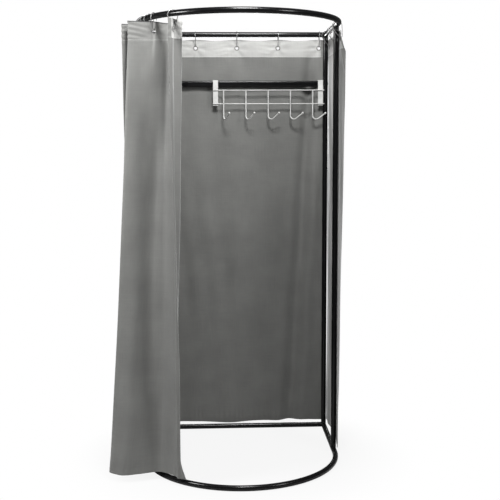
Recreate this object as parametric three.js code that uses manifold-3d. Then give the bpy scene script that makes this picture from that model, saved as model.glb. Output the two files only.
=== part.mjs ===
// Portable fitting room: a D-shaped frame of round steel tube, a hanging rail with a wire
// coat-hook rack, and four cloth curtains on pear-shaped wire rings.
// Millimetres, +Z up. The origin is on the floor under the middle of the base back bar.
// +X is to the right of someone who stands in front of the doorway, and the bow points to -Y.

import * as THREE from 'three';
import { mergeVertices } from 'three/addons/utils/BufferGeometryUtils.js';
import Module from 'manifold-3d';

const wasm = await Module();
wasm.setup();

// Driving sizes of the frame
const HEIGHT = 2000;
const WIDTH = 900;
const SIDE_SPAN = 380;
const BOW_LEAD = 45;
const TUBE_R = 12.5;
const TUBE_WALL = 1.2;
const SEAT_GAP = 0.3;

// Facets of the round forms
const TUBE_SIDES = 12;
const BOW_STEPS = 24;
const FLAT_SHARE = Math.cos(Math.PI / TUBE_SIDES);
const FACET_HALF = TUBE_R * Math.sin(Math.PI / TUBE_SIDES);
const MERGE_WITHIN = 1e-4;
const FULL_TURN = 2 * Math.PI;
const RIGHT_ANGLE = Math.PI / 2;
const DEGREE = Math.PI / 180;

// Corner connectors and the swaged joints of the posts
const STUB = 18;
const SPIGOT = 26;
const BORE_R = TUBE_R - TUBE_WALL;
const SPIGOT_R = BORE_R - SEAT_GAP / FLAT_SHARE;
const SWAGE_TAPER = 6;
const SWAGE_LENGTH = 48;
const JOINT_HEIGHT = 1000;

// Hanging rail, a flat-oval tube on edge, with its end plugs and bolts
const RAIL_HEIGHT = 30;
const RAIL_THICK = 15;
const RAIL_WALL = 1;
const RAIL_DROP = 250;
const RAIL_BEND_STEPS = 6;
const PLUG_LENGTH = 20;
const BOLT_R = 3;
const BOLT_HOLE_R = 3.4;
const BOLT_HEAD_R = 5.5;
const BOLT_HEAD = 2.5;
const BOLT_CROWN_SHARE = 0.6;
const DRILL_LENGTH = 3 * TUBE_R;

// Hook rack: two straps over the rail, two long wires and five coat hooks. It hangs beside the
// right-hand post.
const RACK_TO_POST = 0.9;
const STRAP_SPAN = 519;
const STRAP_WIDTH = 25;
const STRAP_THICK = 2;
const STRAP_DROP = 124;
const STRAP_LIP = 32;
const STRAP_BEND = 2.5;
const STRAP_BEND_STEPS = 3;
const STRAP_PLAY = 3.1;
const RACK_WIRE_R = 2.5;
const RACK_WIRE_END = 6;
const UPPER_WIRE_DROP = 49;
const LOWER_WIRE_DROP = 115;
const HOOK_COUNT = 5;
const HOOK_PITCH = 110;
const HOOK_WIRE_R = 3;
const HOOK_BOTTOM_DROP = 194;
const HOOK_BEND = 9;
const HOOK_TIP = 58;
const HOOK_TIP_RISE = 34 * DEGREE;
const HOOK_FIRST_TURN = 24 * DEGREE;
const HOOK_TURN_STEP = 14.5 * DEGREE;
const HOOK_BALL_R = 5.5;
const HOOK_BEND_STEPS = 8;
const WIRE_SIDES = 6;

// Curtain rings: pear-shaped loops of wire, split in the straight outer leg
const RING_WIRE_R = 1.5;
const RING_TOP_R = 22;
const RING_EYE_R = 8;
const RING_REACH = 58;
const RING_SPLIT = 0.6;
const RING_TOP_STEPS = 7;
const RING_EYE_STEPS = 5;

// Curtains: cloth thickness, the eyelets and the hang of the hems
const CLOTH = 1.5;
const CLOTH_OFF_TUBE = 3;
const EYELET_R = 8;
const EYELET_SIDES = 10;
const EYELET_PLAY = 0.9;
const EYELET_FLAP = 40;
const EYELET_CUT = 12;
const HEM_Z = 34;
const TOP_SCALLOP = 5;
const ROW_CROWD_SHARE = 0.25;
const SWELL_FULL_SHARE = 0.25;
const SWELL_FADE_SHARE = 1 / 3;

// Back curtain
const BACK_FIRST = 31.5;
const BACK_EYELETS = 5;
const BACK_MARGIN = 24;
const BACK_WAVE = 7;
const BACK_COLUMNS = 32;
const BACK_ROWS = 8;

// Side curtains: the last eyelet is past the front post, on the straight lead of the bow
const SIDE_FIRST = 35;
const SIDE_LAST_PAST_POST = 30;
const SIDE_EYELETS = 3;
const SIDE_BACK_MARGIN = 59;
const SIDE_FRONT_MARGIN = 24;
const SIDE_WAVE = 8;
const SIDE_FLARE = 20;
const FLARE_FULL_SHARE = 0.06;
const FLARE_FADE_SHARE = 1.3;
const CORNER_DROOP = 40;
const SIDE_COLUMNS = 20;
const SIDE_ROWS = 8;

// Front curtain: seven rings on the bow, gathered at its left end
const FRONT_RING_ANGLES = [3, 9, 15, 21, 27, 33, 49.5].map((degrees) => degrees * DEGREE);
const FRONT_RING_TURNS = [0, 0, 0, 0, 0, 27, -27].map((degrees) => degrees * DEGREE);
const FOLD_DEPTH = 95;
const FRONT_ROWS = 9;
const FRONT_STEPS = 3;
const HANG_SAG_SHARE = 0.3;
const LEAD_SETTLE_SHARE = 0.72;
const LEADING_COLUMNS = 3 * FRONT_STEPS + 1;
const OPENING_COLUMNS = 2 * FRONT_STEPS;

// The gather from above: the folds after each ring, at angles round the bow from its left end.
// The shares are of the fold depth, outwards from the bow. After the sixth ring come a valley and
// the fold where the leading edge turns back over the front. The last place is that edge. The
// turns are of the cloth at each eyelet, from the line of the bow.
const TOP_TURNS = [0, 0, 0, 0, 0, 27, -70].map((degrees) => degrees * DEGREE);
const TOP_FOLD_ANGLES = [[6], [12], [18], [24], [28.3], [37, 50.2], [49.2]];
const TOP_FOLD_SHARES = [[1], [1], [1], [1], [1], [-0.48, -0.52], [0.283]];
const HEM_TURNS = [0, 0, 0, 0, 0, 27, 10].map((degrees) => degrees * DEGREE);
const HEM_FOLD_ANGLES = [[7], [13], [19], [25], [24.4], [36.6, 50.8], [54]];
const HEM_FOLD_SHARES = [[0.97], [0.97], [0.97], [0.97], [2.21], [0.3, 0.2], [0.3]];

// Where the cloth under each ring is at the hem
const HEM_RING_ANGLES = [4, 10, 16, 22, 28, 31.5, 52.2].map((degrees) => degrees * DEGREE);
const HEM_RING_SHARES = [0.15, 0.15, 0.15, 0.15, 0.42, 1.9, 0.27];

// Worked out from the sizes above
const HALF = WIDTH / 2 - TUBE_R;
const BASE_Z = TUBE_R * FLAT_SHARE;
const TOP_Z = HEIGHT - TUBE_R * FLAT_SHARE;
const POST_FRONT_Y = -SIDE_SPAN;
const BOW_Y = -SIDE_SPAN - BOW_LEAD;
const BOW_R = HALF;
const TUBE_START = STUB + SEAT_GAP;
const RAIL_Z = HEIGHT - RAIL_DROP;
const RAIL_HALF = HALF - TUBE_R * FLAT_SHARE - SEAT_GAP;
const RACK_X = HALF - TUBE_R * FLAT_SHARE - RACK_TO_POST - (STRAP_WIDTH + STRAP_SPAN) / 2;
const RACK_TOP_Z = RAIL_Z + RAIL_HEIGHT / 2 + SEAT_GAP + STRAP_THICK;
const STRAP_FRONT_Y = -(RAIL_THICK / 2 + STRAP_PLAY + STRAP_THICK);
const RACK_WIRE_Y = STRAP_FRONT_Y - SEAT_GAP - RACK_WIRE_R;
const HOOK_Y = RACK_WIRE_Y - RACK_WIRE_R - SEAT_GAP - HOOK_WIRE_R;
const CLOTH_OFFSET = TUBE_R + CLOTH_OFF_TUBE;
const EYELET_Z = TOP_Z - RING_REACH + RING_WIRE_R + EYELET_PLAY - EYELET_R;
const CLOTH_TOP = EYELET_Z + EYELET_FLAP;
const BACK_PITCH = (2 * (HALF - BACK_FIRST)) / (BACK_EYELETS - 1);
const SIDE_PITCH = (SIDE_SPAN + SIDE_LAST_PAST_POST - SIDE_FIRST) / (SIDE_EYELETS - 1);

// Finishes, with colours read from the photograph
const enamel = new THREE.MeshStandardMaterial({ color: 0x0d0d0e, roughness: 0.22, metalness: 0.1 });
const moulded = new THREE.MeshStandardMaterial({ color: 0x0b0b0b, roughness: 0.35, metalness: 0 });
const zinc = new THREE.MeshStandardMaterial({ color: 0xb9bbbd, roughness: 0.35, metalness: 1 });
const whiteCoat = new THREE.MeshStandardMaterial({ color: 0xe9e9e6, roughness: 0.4, metalness: 0 });
const nickel = new THREE.MeshStandardMaterial({ color: 0xc8c9cb, roughness: 0.25, metalness: 1 });
const cloth = new THREE.MeshStandardMaterial({ color: 0x74756f, roughness: 0.75, metalness: 0 });

// Solids and meshes

/** A closed geometry as a solid that can be joined and cut. */
function solidOf(geometry) {
  const plain = geometry.clone();
  plain.deleteAttribute('normal');
  plain.deleteAttribute('uv');
  const merged = mergeVertices(plain, MERGE_WITHIN);
  return new wasm.Manifold(new wasm.Mesh({
    numProp: 3,
    vertProperties: Float32Array.from(merged.attributes.position.array),
    triVerts: Uint32Array.from(merged.index.array),
  }));
}

/** The geometry of a solid. */
function geometryOf(solid) {
  const mesh = solid.getMesh();
  const geometry = new THREE.BufferGeometry();
  geometry.setAttribute('position', new THREE.BufferAttribute(Float32Array.from(mesh.vertProperties), 3));
  geometry.setIndex(new THREE.BufferAttribute(Uint32Array.from(mesh.triVerts), 1));
  return geometry;
}

/** A named mesh at a place, optionally turned about Z. */
function piece(name, geometry, material, x = 0, y = 0, z = 0, turn = 0) {
  const mesh = new THREE.Mesh(geometry, material);
  mesh.name = name;
  mesh.position.set(x, y, z);
  mesh.rotation.z = turn;
  return mesh;
}

// Tube sections and routes

/** Corners of a regular polygon that has flats across X and Y. */
function polygon(radius, sides = TUBE_SIDES) {
  return Array.from({ length: sides }, (_, i) => {
    const turn = ((i + 0.5) / sides) * FULL_TURN;
    return new THREE.Vector2(radius * Math.cos(turn), radius * Math.sin(turn));
  });
}

/** Section of a round tube, or of a rod where the bore is zero. */
function roundSection(radius, bore = 0, sides = TUBE_SIDES) {
  const shape = new THREE.Shape(polygon(radius, sides));
  if (bore > 0) shape.holes.push(new THREE.Path(polygon(bore, sides)));
  return shape;
}

/** Outline of a flat oval, long way along Y. */
function ovalOutline(height, thick) {
  const radius = thick / 2;
  const straight = height / 2 - radius;
  const points = [];
  for (const side of [1, -1]) {
    for (let i = 0; i <= RAIL_BEND_STEPS; i += 1) {
      const turn = (i / RAIL_BEND_STEPS) * Math.PI + (side > 0 ? 0 : Math.PI);
      points.push(new THREE.Vector2(
        radius * Math.cos(turn), side * straight + radius * Math.sin(turn)));
    }
  }
  return points;
}

/** A section run straight along +Z. */
function prism(section, length) {
  return new THREE.ExtrudeGeometry(section, { depth: length, bevelEnabled: false, steps: 1 });
}

/** The same, run along +X. */
function prismX(section, length) {
  return prism(section, length).rotateX(RIGHT_ANGLE).rotateZ(RIGHT_ANGLE);
}

/** The same, run along +Y. */
function prismY(section, length) {
  return prism(section, length).rotateX(-RIGHT_ANGLE);
}

/** A route that an extrusion follows from one given point to the next. */
class Route extends THREE.Curve {
  constructor(points) {
    super();
    this.points = points;
  }

  getPointAt(u, target = new THREE.Vector3()) {
    return target.copy(this.points[Math.round(u * (this.points.length - 1))]);
  }

  getTangentAt(u, target = new THREE.Vector3()) {
    const last = this.points.length - 1;
    const here = Math.round(u * last);
    const next = this.points[Math.min(here + 1, last)];
    return target.copy(next).sub(this.points[Math.max(here - 1, 0)]).normalize();
  }
}

/** A section run along a route of points. */
function sweep(section, points) {
  return new THREE.ExtrudeGeometry(section, {
    extrudePath: new Route(points),
    steps: points.length - 1,
    bevelEnabled: false,
  });
}

/** Points round part of a circle in the plane of two unit directions. */
function arcPoints(centre, radius, from, to, steps, across, up) {
  return Array.from({ length: steps + 1 }, (_, i) => {
    const turn = from + ((to - from) * i) / steps;
    return centre.clone()
      .addScaledVector(across, radius * Math.cos(turn))
      .addScaledVector(up, radius * Math.sin(turn));
  });
}

const X = new THREE.Vector3(1, 0, 0);
const Y = new THREE.Vector3(0, 1, 0);
const Z = new THREE.Vector3(0, 0, 1);

/** A place on the bow's centreline, by its angle from the left end, or beside it by an offset. */
function bowPlace(angle, offset = 0) {
  return new THREE.Vector2(
    -(BOW_R + offset) * Math.cos(angle), BOW_Y - (BOW_R + offset) * Math.sin(angle));
}

// Frame

/** The bent tube of the bow, with a short straight lead at each end. */
function bowTube() {
  const lead = BOW_LEAD - TUBE_START;
  const start = new THREE.Vector3(-BOW_R, lead, 0);
  const end = new THREE.Vector3(BOW_R, lead, 0);
  const bend = arcPoints(new THREE.Vector3(), BOW_R, Math.PI, 2 * Math.PI, BOW_STEPS, X, Y);
  return sweep(roundSection(TUBE_R, BORE_R), [start, ...bend, end]);
}

/** A straight tube along X between the stubs of two corners. */
function backTube() {
  return prismX(roundSection(TUBE_R, BORE_R), 2 * (HALF - TUBE_START));
}

/** A straight tube along Y between a corner and a tee. */
function sideTube() {
  return prismY(roundSection(TUBE_R, BORE_R), SIDE_SPAN - 2 * TUBE_START);
}

/** One arm of a connector: a stub as thick as the tube and a spigot that fits inside it. */
function arm(direction) {
  const stub = prism(roundSection(TUBE_R), STUB);
  const spigot = prism(roundSection(SPIGOT_R), STUB + SPIGOT);
  const aim = new THREE.Quaternion().setFromUnitVectors(Z, direction);
  return solidOf(stub.applyQuaternion(aim)).add(solidOf(spigot.applyQuaternion(aim)));
}

/** A moulded three-way connector with a rounded heel. */
function connector(directions) {
  const heel = new THREE.SphereGeometry(TUBE_R * FLAT_SHARE, TUBE_SIDES, TUBE_SIDES / 2);
  const body = directions.reduce((sum, direction) => sum.add(arm(direction)), solidOf(heel));
  return geometryOf(body);
}

/** The lower half of a post: its top end is swaged down to fit inside the upper half. */
function lowerPost() {
  const shoulder = JOINT_HEIGHT - BASE_Z - TUBE_START;
  const swageBore = SPIGOT_R - TUBE_WALL;
  const profile = [
    [BORE_R, 0], [TUBE_R, 0], [TUBE_R, shoulder - SWAGE_TAPER], [SPIGOT_R, shoulder],
    [SPIGOT_R, shoulder + SWAGE_LENGTH], [swageBore, shoulder + SWAGE_LENGTH],
    [swageBore, shoulder], [BORE_R, shoulder - SWAGE_TAPER], [BORE_R, 0],
  ].map(([radius, height]) => new THREE.Vector2(radius, height));
  return new THREE.LatheGeometry(profile, TUBE_SIDES)
    .rotateY(Math.PI / TUBE_SIDES).rotateX(RIGHT_ANGLE);
}

/** The upper half of a post, drilled across for the rail bolt where it carries the rail. */
function upperPost(drilled) {
  const start = JOINT_HEIGHT + SEAT_GAP;
  const tube = prism(roundSection(TUBE_R, BORE_R), TOP_Z - TUBE_START - start);
  if (!drilled) return tube;
  const hole = prismX(roundSection(BOLT_HOLE_R), DRILL_LENGTH)
    .translate(-DRILL_LENGTH / 2, 0, RAIL_Z - start);
  return geometryOf(solidOf(tube).subtract(solidOf(hole)));
}

/** The whole tube frame. */
function frame() {
  const group = new THREE.Group();
  for (const [level, z, up] of [['base', BASE_Z, Z], ['top', TOP_Z, Z.clone().negate()]]) {
    group.add(piece(`${level}_bow_tube`, bowTube(), enamel, 0, BOW_Y, z));
    group.add(piece(`${level}_back_tube`, backTube(), enamel, -HALF + TUBE_START, 0, z));
    for (const [side, sign] of [['left', -1], ['right', 1]]) {
      const inward = X.clone().multiplyScalar(-sign);
      const forward = Y.clone().negate();
      group.add(piece(`${level}_${side}_side_tube`, sideTube(), enamel,
        sign * HALF, POST_FRONT_Y + TUBE_START, z));
      group.add(piece(`${level}_back_${side}_corner`, connector([inward, forward, up]),
        moulded, sign * HALF, 0, z));
      group.add(piece(`${level}_front_${side}_tee`, connector([Y, forward, up]),
        moulded, sign * HALF, POST_FRONT_Y, z));
    }
  }
  for (const [side, sign] of [['left', -1], ['right', 1]]) {
    for (const [row, y] of [['back', 0], ['front', POST_FRONT_Y]]) {
      group.add(piece(`${row}_${side}_post_lower`, lowerPost(), enamel,
        sign * HALF, y, BASE_Z + TUBE_START));
      group.add(piece(`${row}_${side}_post_upper`, upperPost(row === 'back'), enamel,
        sign * HALF, y, JOINT_HEIGHT + SEAT_GAP));
    }
  }
  return group;
}

// Hanging rail

/** The flat-oval rail tube. */
function railTube() {
  const section = new THREE.Shape(ovalOutline(RAIL_HEIGHT, RAIL_THICK));
  section.holes.push(new THREE.Path(
    ovalOutline(RAIL_HEIGHT - 2 * RAIL_WALL, RAIL_THICK - 2 * RAIL_WALL)));
  return prismX(section, 2 * RAIL_HALF);
}

/** A plug that fills the rail's end and takes the bolt. */
function railPlug() {
  const inset = 2 * (RAIL_WALL + SEAT_GAP);
  const section = new THREE.Shape(ovalOutline(RAIL_HEIGHT - inset, RAIL_THICK - inset));
  section.holes.push(new THREE.Path(polygon(BOLT_HOLE_R)));
  return prismX(section, PLUG_LENGTH);
}

/** A bolt with a low domed head. Its tip points along +X. */
function railBolt() {
  const reach = 2 * (TUBE_R * FLAT_SHARE + SEAT_GAP) + PLUG_LENGTH - 2 * BOLT_R;
  const profile = [
    [0, -BOLT_HEAD], [BOLT_HEAD_R * BOLT_CROWN_SHARE, -BOLT_HEAD], [BOLT_HEAD_R, -BOLT_HEAD / 2],
    [BOLT_HEAD_R, 0], [BOLT_R, 0], [BOLT_R, reach], [0, reach],
  ].map(([radius, height]) => new THREE.Vector2(radius, height));
  return new THREE.LatheGeometry(profile, TUBE_SIDES)
    .rotateY(Math.PI / TUBE_SIDES).rotateZ(-RIGHT_ANGLE);
}

/** The rail with its two plugs and bolts. */
function hangingRail() {
  const group = new THREE.Group();
  group.add(piece('hanging_rail', railTube(), enamel, -RAIL_HALF, 0, RAIL_Z));
  for (const [side, sign] of [['left', -1], ['right', 1]]) {
    const plugStart = sign < 0 ? -RAIL_HALF : RAIL_HALF - PLUG_LENGTH;
    group.add(piece(`rail_${side}_plug`, railPlug(), moulded, plugStart, 0, RAIL_Z));
    const headSeat = sign * (HALF + TUBE_R * FLAT_SHARE + SEAT_GAP);
    group.add(piece(`rail_${side}_bolt`, railBolt(), zinc, headSeat, 0, RAIL_Z,
      sign < 0 ? 0 : Math.PI));
  }
  return group;
}

// Hook rack

/** A strap bent over the rail: a long front leg, a flat top and a short back lip. */
function strap() {
  const front = STRAP_FRONT_Y;
  const back = RAIL_THICK / 2 + SEAT_GAP + STRAP_THICK;
  const outer = STRAP_BEND;
  const inner = STRAP_BEND - STRAP_THICK;
  const corner = (y, z, radius, from, to) => Array.from({ length: STRAP_BEND_STEPS + 1 }, (_, i) => {
    const turn = from + ((to - from) * i) / STRAP_BEND_STEPS;
    return new THREE.Vector2(y + radius * Math.cos(turn), z + radius * Math.sin(turn));
  });
  const backBend = [back - outer, -outer];
  const frontBend = [front + outer, -outer];
  const outline = [
    new THREE.Vector2(front, -STRAP_DROP), new THREE.Vector2(front + STRAP_THICK, -STRAP_DROP),
    ...corner(...frontBend, inner, Math.PI, RIGHT_ANGLE),
    ...corner(...backBend, inner, RIGHT_ANGLE, 0),
    new THREE.Vector2(back - STRAP_THICK, -STRAP_LIP), new THREE.Vector2(back, -STRAP_LIP),
    ...corner(...backBend, outer, 0, RIGHT_ANGLE),
    ...corner(...frontBend, outer, RIGHT_ANGLE, Math.PI),
  ];
  return prismX(new THREE.Shape(outline), STRAP_WIDTH).translate(-STRAP_WIDTH / 2, 0, 0);
}

/**
 * A coat hook: a shank, a bend and a rising tip with a ball end. It points along -Y until the
 * rack fans the hooks out.
 */
function coatHook() {
  const shank = HOOK_BOTTOM_DROP - UPPER_WIRE_DROP + RACK_WIRE_R;
  const forward = Y.clone().negate();
  const bendCentre = forward.clone().multiplyScalar(HOOK_BEND)
    .addScaledVector(Z, HOOK_BEND + HOOK_WIRE_R - shank);
  const bend = arcPoints(bendCentre, HOOK_BEND, Math.PI, 3 * RIGHT_ANGLE + HOOK_TIP_RISE,
    HOOK_BEND_STEPS, forward, Z);
  const tip = bend[bend.length - 1].clone()
    .addScaledVector(forward, HOOK_TIP * Math.cos(HOOK_TIP_RISE))
    .addScaledVector(Z, HOOK_TIP * Math.sin(HOOK_TIP_RISE));
  const wire = sweep(roundSection(HOOK_WIRE_R, 0, WIRE_SIDES), [new THREE.Vector3(), ...bend, tip]);
  const ball = new THREE.SphereGeometry(HOOK_BALL_R, 2 * WIRE_SIDES, WIRE_SIDES)
    .translate(tip.x, tip.y, tip.z);
  return geometryOf(solidOf(wire).add(solidOf(ball)));
}

/** The rack as it hangs on the rail, against the right-hand post. */
function hookRack() {
  const group = new THREE.Group();
  group.position.set(RACK_X, 0, RACK_TOP_Z);
  for (const [side, sign] of [['left', -1], ['right', 1]]) {
    group.add(piece(`rack_${side}_strap`, strap(), whiteCoat, (sign * STRAP_SPAN) / 2));
  }
  const wireLength = STRAP_SPAN + STRAP_WIDTH + 2 * RACK_WIRE_END;
  for (const [level, drop] of [['upper', UPPER_WIRE_DROP], ['lower', LOWER_WIRE_DROP]]) {
    group.add(piece(`rack_${level}_wire`, prismX(roundSection(RACK_WIRE_R, 0, WIRE_SIDES), wireLength),
      whiteCoat, -wireLength / 2, RACK_WIRE_Y, -drop));
  }
  for (let i = 0; i < HOOK_COUNT; i += 1) {
    group.add(piece(`coat_hook_${i + 1}`, coatHook(), whiteCoat,
      (i - (HOOK_COUNT - 1) / 2) * HOOK_PITCH, HOOK_Y, RACK_WIRE_R - UPPER_WIRE_DROP,
      HOOK_FIRST_TURN + i * HOOK_TURN_STEP));
  }
  return group;
}

// Curtain rings

/** Least distance from the centre of the ring's top bend to its inner side. */
const RING_CLEAR = RING_TOP_R * Math.cos(Math.PI / (2 * RING_TOP_STEPS)) - RING_WIRE_R;

/** How far the centre of the ring's top bend lies under the tube's axis. */
const RING_SAG = Math.sqrt((RING_CLEAR - SEAT_GAP) ** 2 - FACET_HALF ** 2) - TUBE_R * FLAT_SHARE;

/** A ring in the plane of X and Z round a tube at the origin. Its eye leans towards +X. */
function curtainRing(lean) {
  const top = new THREE.Vector3(0, 0, -RING_SAG);
  const eyeRise = RING_EYE_R * Math.cos(Math.PI / (2 * RING_EYE_STEPS));
  const eye = new THREE.Vector3(lean, 0, eyeRise - RING_REACH);
  const down = eye.clone().sub(top);
  const aim = Math.atan2(down.z, down.x);
  const wrap = Math.acos((RING_TOP_R - RING_EYE_R) / down.length());
  const over = arcPoints(top, RING_TOP_R, aim + wrap, aim - wrap + FULL_TURN, RING_TOP_STEPS, X, Z);
  const under = arcPoints(eye, RING_EYE_R, aim - wrap, aim + wrap, RING_EYE_STEPS, X, Z);
  const legFoot = under[under.length - 1];
  const leg = over[0].clone().sub(legFoot);
  const split = leg.clone().setLength(RING_SPLIT / 2);
  const middle = legFoot.clone().addScaledVector(leg, 0.5);
  const route = [middle.clone().add(split), ...over, ...under, middle.clone().sub(split)];
  return sweep(roundSection(RING_WIRE_R, 0, WIRE_SIDES), route);
}

/** Rings of the back and side curtains, leaning out to the cloth behind the posts. */
function fixedRings() {
  const group = new THREE.Group();
  for (let i = 0; i < BACK_EYELETS; i += 1) {
    group.add(piece(`back_ring_${i + 1}`, curtainRing(CLOTH_OFFSET), nickel,
      (i - (BACK_EYELETS - 1) / 2) * BACK_PITCH, 0, TOP_Z, RIGHT_ANGLE));
  }
  for (const [side, sign] of [['left', -1], ['right', 1]]) {
    for (let i = 0; i < SIDE_EYELETS; i += 1) {
      group.add(piece(`${side}_ring_${i + 1}`, curtainRing(CLOTH_OFFSET), nickel,
        sign * HALF, -SIDE_FIRST - i * SIDE_PITCH, TOP_Z, sign < 0 ? Math.PI : 0));
    }
  }
  return group;
}

/** Rings of the front curtain, on the bow. */
function bowRings() {
  const group = new THREE.Group();
  FRONT_RING_ANGLES.forEach((angle, i) => {
    const place = bowPlace(angle);
    group.add(piece(`front_ring_${i + 1}`, curtainRing(0), nickel, place.x, place.y, TOP_Z,
      angle + FRONT_RING_TURNS[i]));
  });
  return group;
}

// Curtains

/**
 * A closed sheet of cloth through a grid of points. grid[row][column] is a point on the middle
 * of the cloth, and each point is moved half the thickness both ways along the normal there.
 */
function clothSheet(grid) {
  const rows = grid.length;
  const columns = grid[0].length;
  const at = (r, c) => grid[Math.min(Math.max(r, 0), rows - 1)][Math.min(Math.max(c, 0), columns - 1)];
  const position = [];
  for (const side of [1, -1]) {
    for (let r = 0; r < rows; r += 1) {
      for (let c = 0; c < columns; c += 1) {
        const across = at(r, c + 1).clone().sub(at(r, c - 1)).setZ(0);
        const normal = across.cross(Z).normalize().multiplyScalar((side * CLOTH) / 2);
        position.push(...at(r, c).clone().add(normal).toArray());
      }
    }
  }
  const index = [];
  const quad = (a, b, c, d) => index.push(a, b, c, a, c, d);
  const back = rows * columns;
  for (let r = 0; r < rows - 1; r += 1) {
    for (let c = 0; c < columns - 1; c += 1) {
      const a = r * columns + c;
      quad(a, a + columns, a + columns + 1, a + 1);
      quad(back + a, back + a + 1, back + a + columns + 1, back + a + columns);
    }
  }
  for (let c = 0; c < columns - 1; c += 1) {
    const low = (rows - 1) * columns + c;
    quad(c, c + 1, back + c + 1, back + c);
    quad(low + 1, low, back + low, back + low + 1);
  }
  for (let r = 0; r < rows - 1; r += 1) {
    const left = r * columns;
    const right = left + columns - 1;
    quad(left + columns, left, back + left, back + left + columns);
    quad(right, right + columns, back + right + columns, back + right);
  }
  const geometry = new THREE.BufferGeometry();
  geometry.setAttribute('position', new THREE.Float32BufferAttribute(position, 3));
  geometry.setIndex(index);
  return geometry;
}

/** Cuts the eyelet holes. Each eyelet has a place and the direction that faces out of the cloth. */
function cutEyelets(sheet, eyelets) {
  return geometryOf(eyelets.reduce((body, { place, facing }) => {
    const punch = prism(roundSection(EYELET_R, 0, EYELET_SIDES), EYELET_CUT)
      .translate(0, 0, -EYELET_CUT / 2)
      .applyQuaternion(new THREE.Quaternion().setFromUnitVectors(Z, facing))
      .translate(place.x, place.y, EYELET_Z);
    return body.subtract(solidOf(punch));
  }, solidOf(sheet)));
}

/** Share of the cloth's drop, from its top edge, that is pinned straight by the eyelets. */
const PINNED_SHARE = (EYELET_FLAP + 2 * EYELET_R) / (CLOTH_TOP - HEM_Z);

/** A share that starts slower than it ends, by how much it falls short of a straight line. */
function sagging(share, short) {
  return share * (1 - short * (1 - share));
}

/** Heights of the cloth's rows as shares of its drop: the pinned band, then wider steps. */
function rowShares(rows) {
  const below = Array.from({ length: rows }, (_, i) => sagging(i / (rows - 1), ROW_CROWD_SHARE));
  return [0, ...below.map((share) => PINNED_SHARE + (1 - PINNED_SHARE) * share)];
}

/** How far down the free cloth a row lies: zero in the pinned band and one at the hem. */
function freeShare(share) {
  return Math.max(0, share - PINNED_SHARE) / (1 - PINNED_SHARE);
}

/** How much of a curtain's wave shows at a row: it grows fast under the eyelets, then fades a little. */
function swellShare(share) {
  const free = freeShare(share);
  return Math.min(1, free / SWELL_FULL_SHARE) * (1 - SWELL_FADE_SHARE * free);
}

/**
 * The back curtain: nearly flat, pinned to one plane at the eyelets, with shallow waves that
 * grow to the hem.
 */
function backCurtain() {
  const half = ((BACK_EYELETS - 1) * BACK_PITCH) / 2 + BACK_MARGIN;
  const wave = FULL_TURN / BACK_PITCH;
  const grid = rowShares(BACK_ROWS).map((share) => Array.from({ length: BACK_COLUMNS + 1 }, (_, c) => {
    const x = -half + (2 * half * c) / BACK_COLUMNS;
    const ripple = (1 - Math.cos(wave * x)) / 2;
    const top = CLOTH_TOP - TOP_SCALLOP * ripple;
    const swell = BACK_WAVE * ripple * swellShare(share);
    return new THREE.Vector3(x, CLOTH_OFFSET + swell, top + (HEM_Z - top) * share);
  }));
  const eyelets = Array.from({ length: BACK_EYELETS }, (_, i) => ({
    place: new THREE.Vector2((i - (BACK_EYELETS - 1) / 2) * BACK_PITCH, CLOTH_OFFSET),
    facing: Y,
  }));
  return cutEyelets(clothSheet(grid), eyelets);
}

/**
 * A side curtain: along the side tube and past the front post, with a free front edge that
 * flares outwards below its last eyelet, less and less to the hem, and a top corner that droops.
 */
function sideCurtain(sign) {
  const first = -SIDE_FIRST + SIDE_BACK_MARGIN;
  const lastEyelet = SIDE_FIRST + (SIDE_EYELETS - 1) * SIDE_PITCH;
  const last = -lastEyelet - SIDE_FRONT_MARGIN;
  const length = first - last;
  const wave = FULL_TURN / SIDE_PITCH;
  const grid = rowShares(SIDE_ROWS).map((share) => Array.from({ length: SIDE_COLUMNS + 1 }, (_, c) => {
    const along = (length * c) / SIDE_COLUMNS;
    const y = first - along;
    const ripple = (1 - Math.cos(wave * (y + SIDE_FIRST))) / 2;
    const free = Math.max(0, POST_FRONT_Y - y) / (POST_FRONT_Y - last);
    const down = freeShare(share);
    const flare = SIDE_FLARE * free * Math.min(1, down / FLARE_FULL_SHARE)
      * (1 - FLARE_FADE_SHARE * down);
    const pastEyelet = Math.max(0, -y - lastEyelet) / SIDE_FRONT_MARGIN;
    const top = CLOTH_TOP - TOP_SCALLOP * ripple - CORNER_DROOP * pastEyelet;
    const swell = SIDE_WAVE * ripple * swellShare(share);
    return new THREE.Vector3(sign * (HALF + CLOTH_OFFSET + swell + flare), y,
      top + (HEM_Z - top) * share);
  }));
  const sheet = clothSheet(sign < 0 ? grid : grid.map((row) => row.reverse()));
  const eyelets = Array.from({ length: SIDE_EYELETS }, (_, i) => ({
    place: new THREE.Vector2(sign * (HALF + CLOTH_OFFSET), -SIDE_FIRST - i * SIDE_PITCH),
    facing: X,
  }));
  return cutEyelets(sheet, eyelets);
}

/** A fold of the gathered curtain: its place in plan and the steps to the next place. */
function fold(angle, offset) {
  return { place: bowPlace(angle, offset), steps: FRONT_STEPS };
}

/** Two places beside an eyelet with one flat step between them, so that the cloth is square there. */
function eyeletFolds(angle, offset, turn) {
  const middle = bowPlace(angle, offset);
  const along = new THREE.Vector2(Math.sin(angle + turn), -Math.cos(angle + turn));
  return [[-EYELET_R, 1], [EYELET_R, FRONT_STEPS]].map(([step, steps]) => (
    { place: middle.clone().addScaledVector(along, step), steps }));
}

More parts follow.
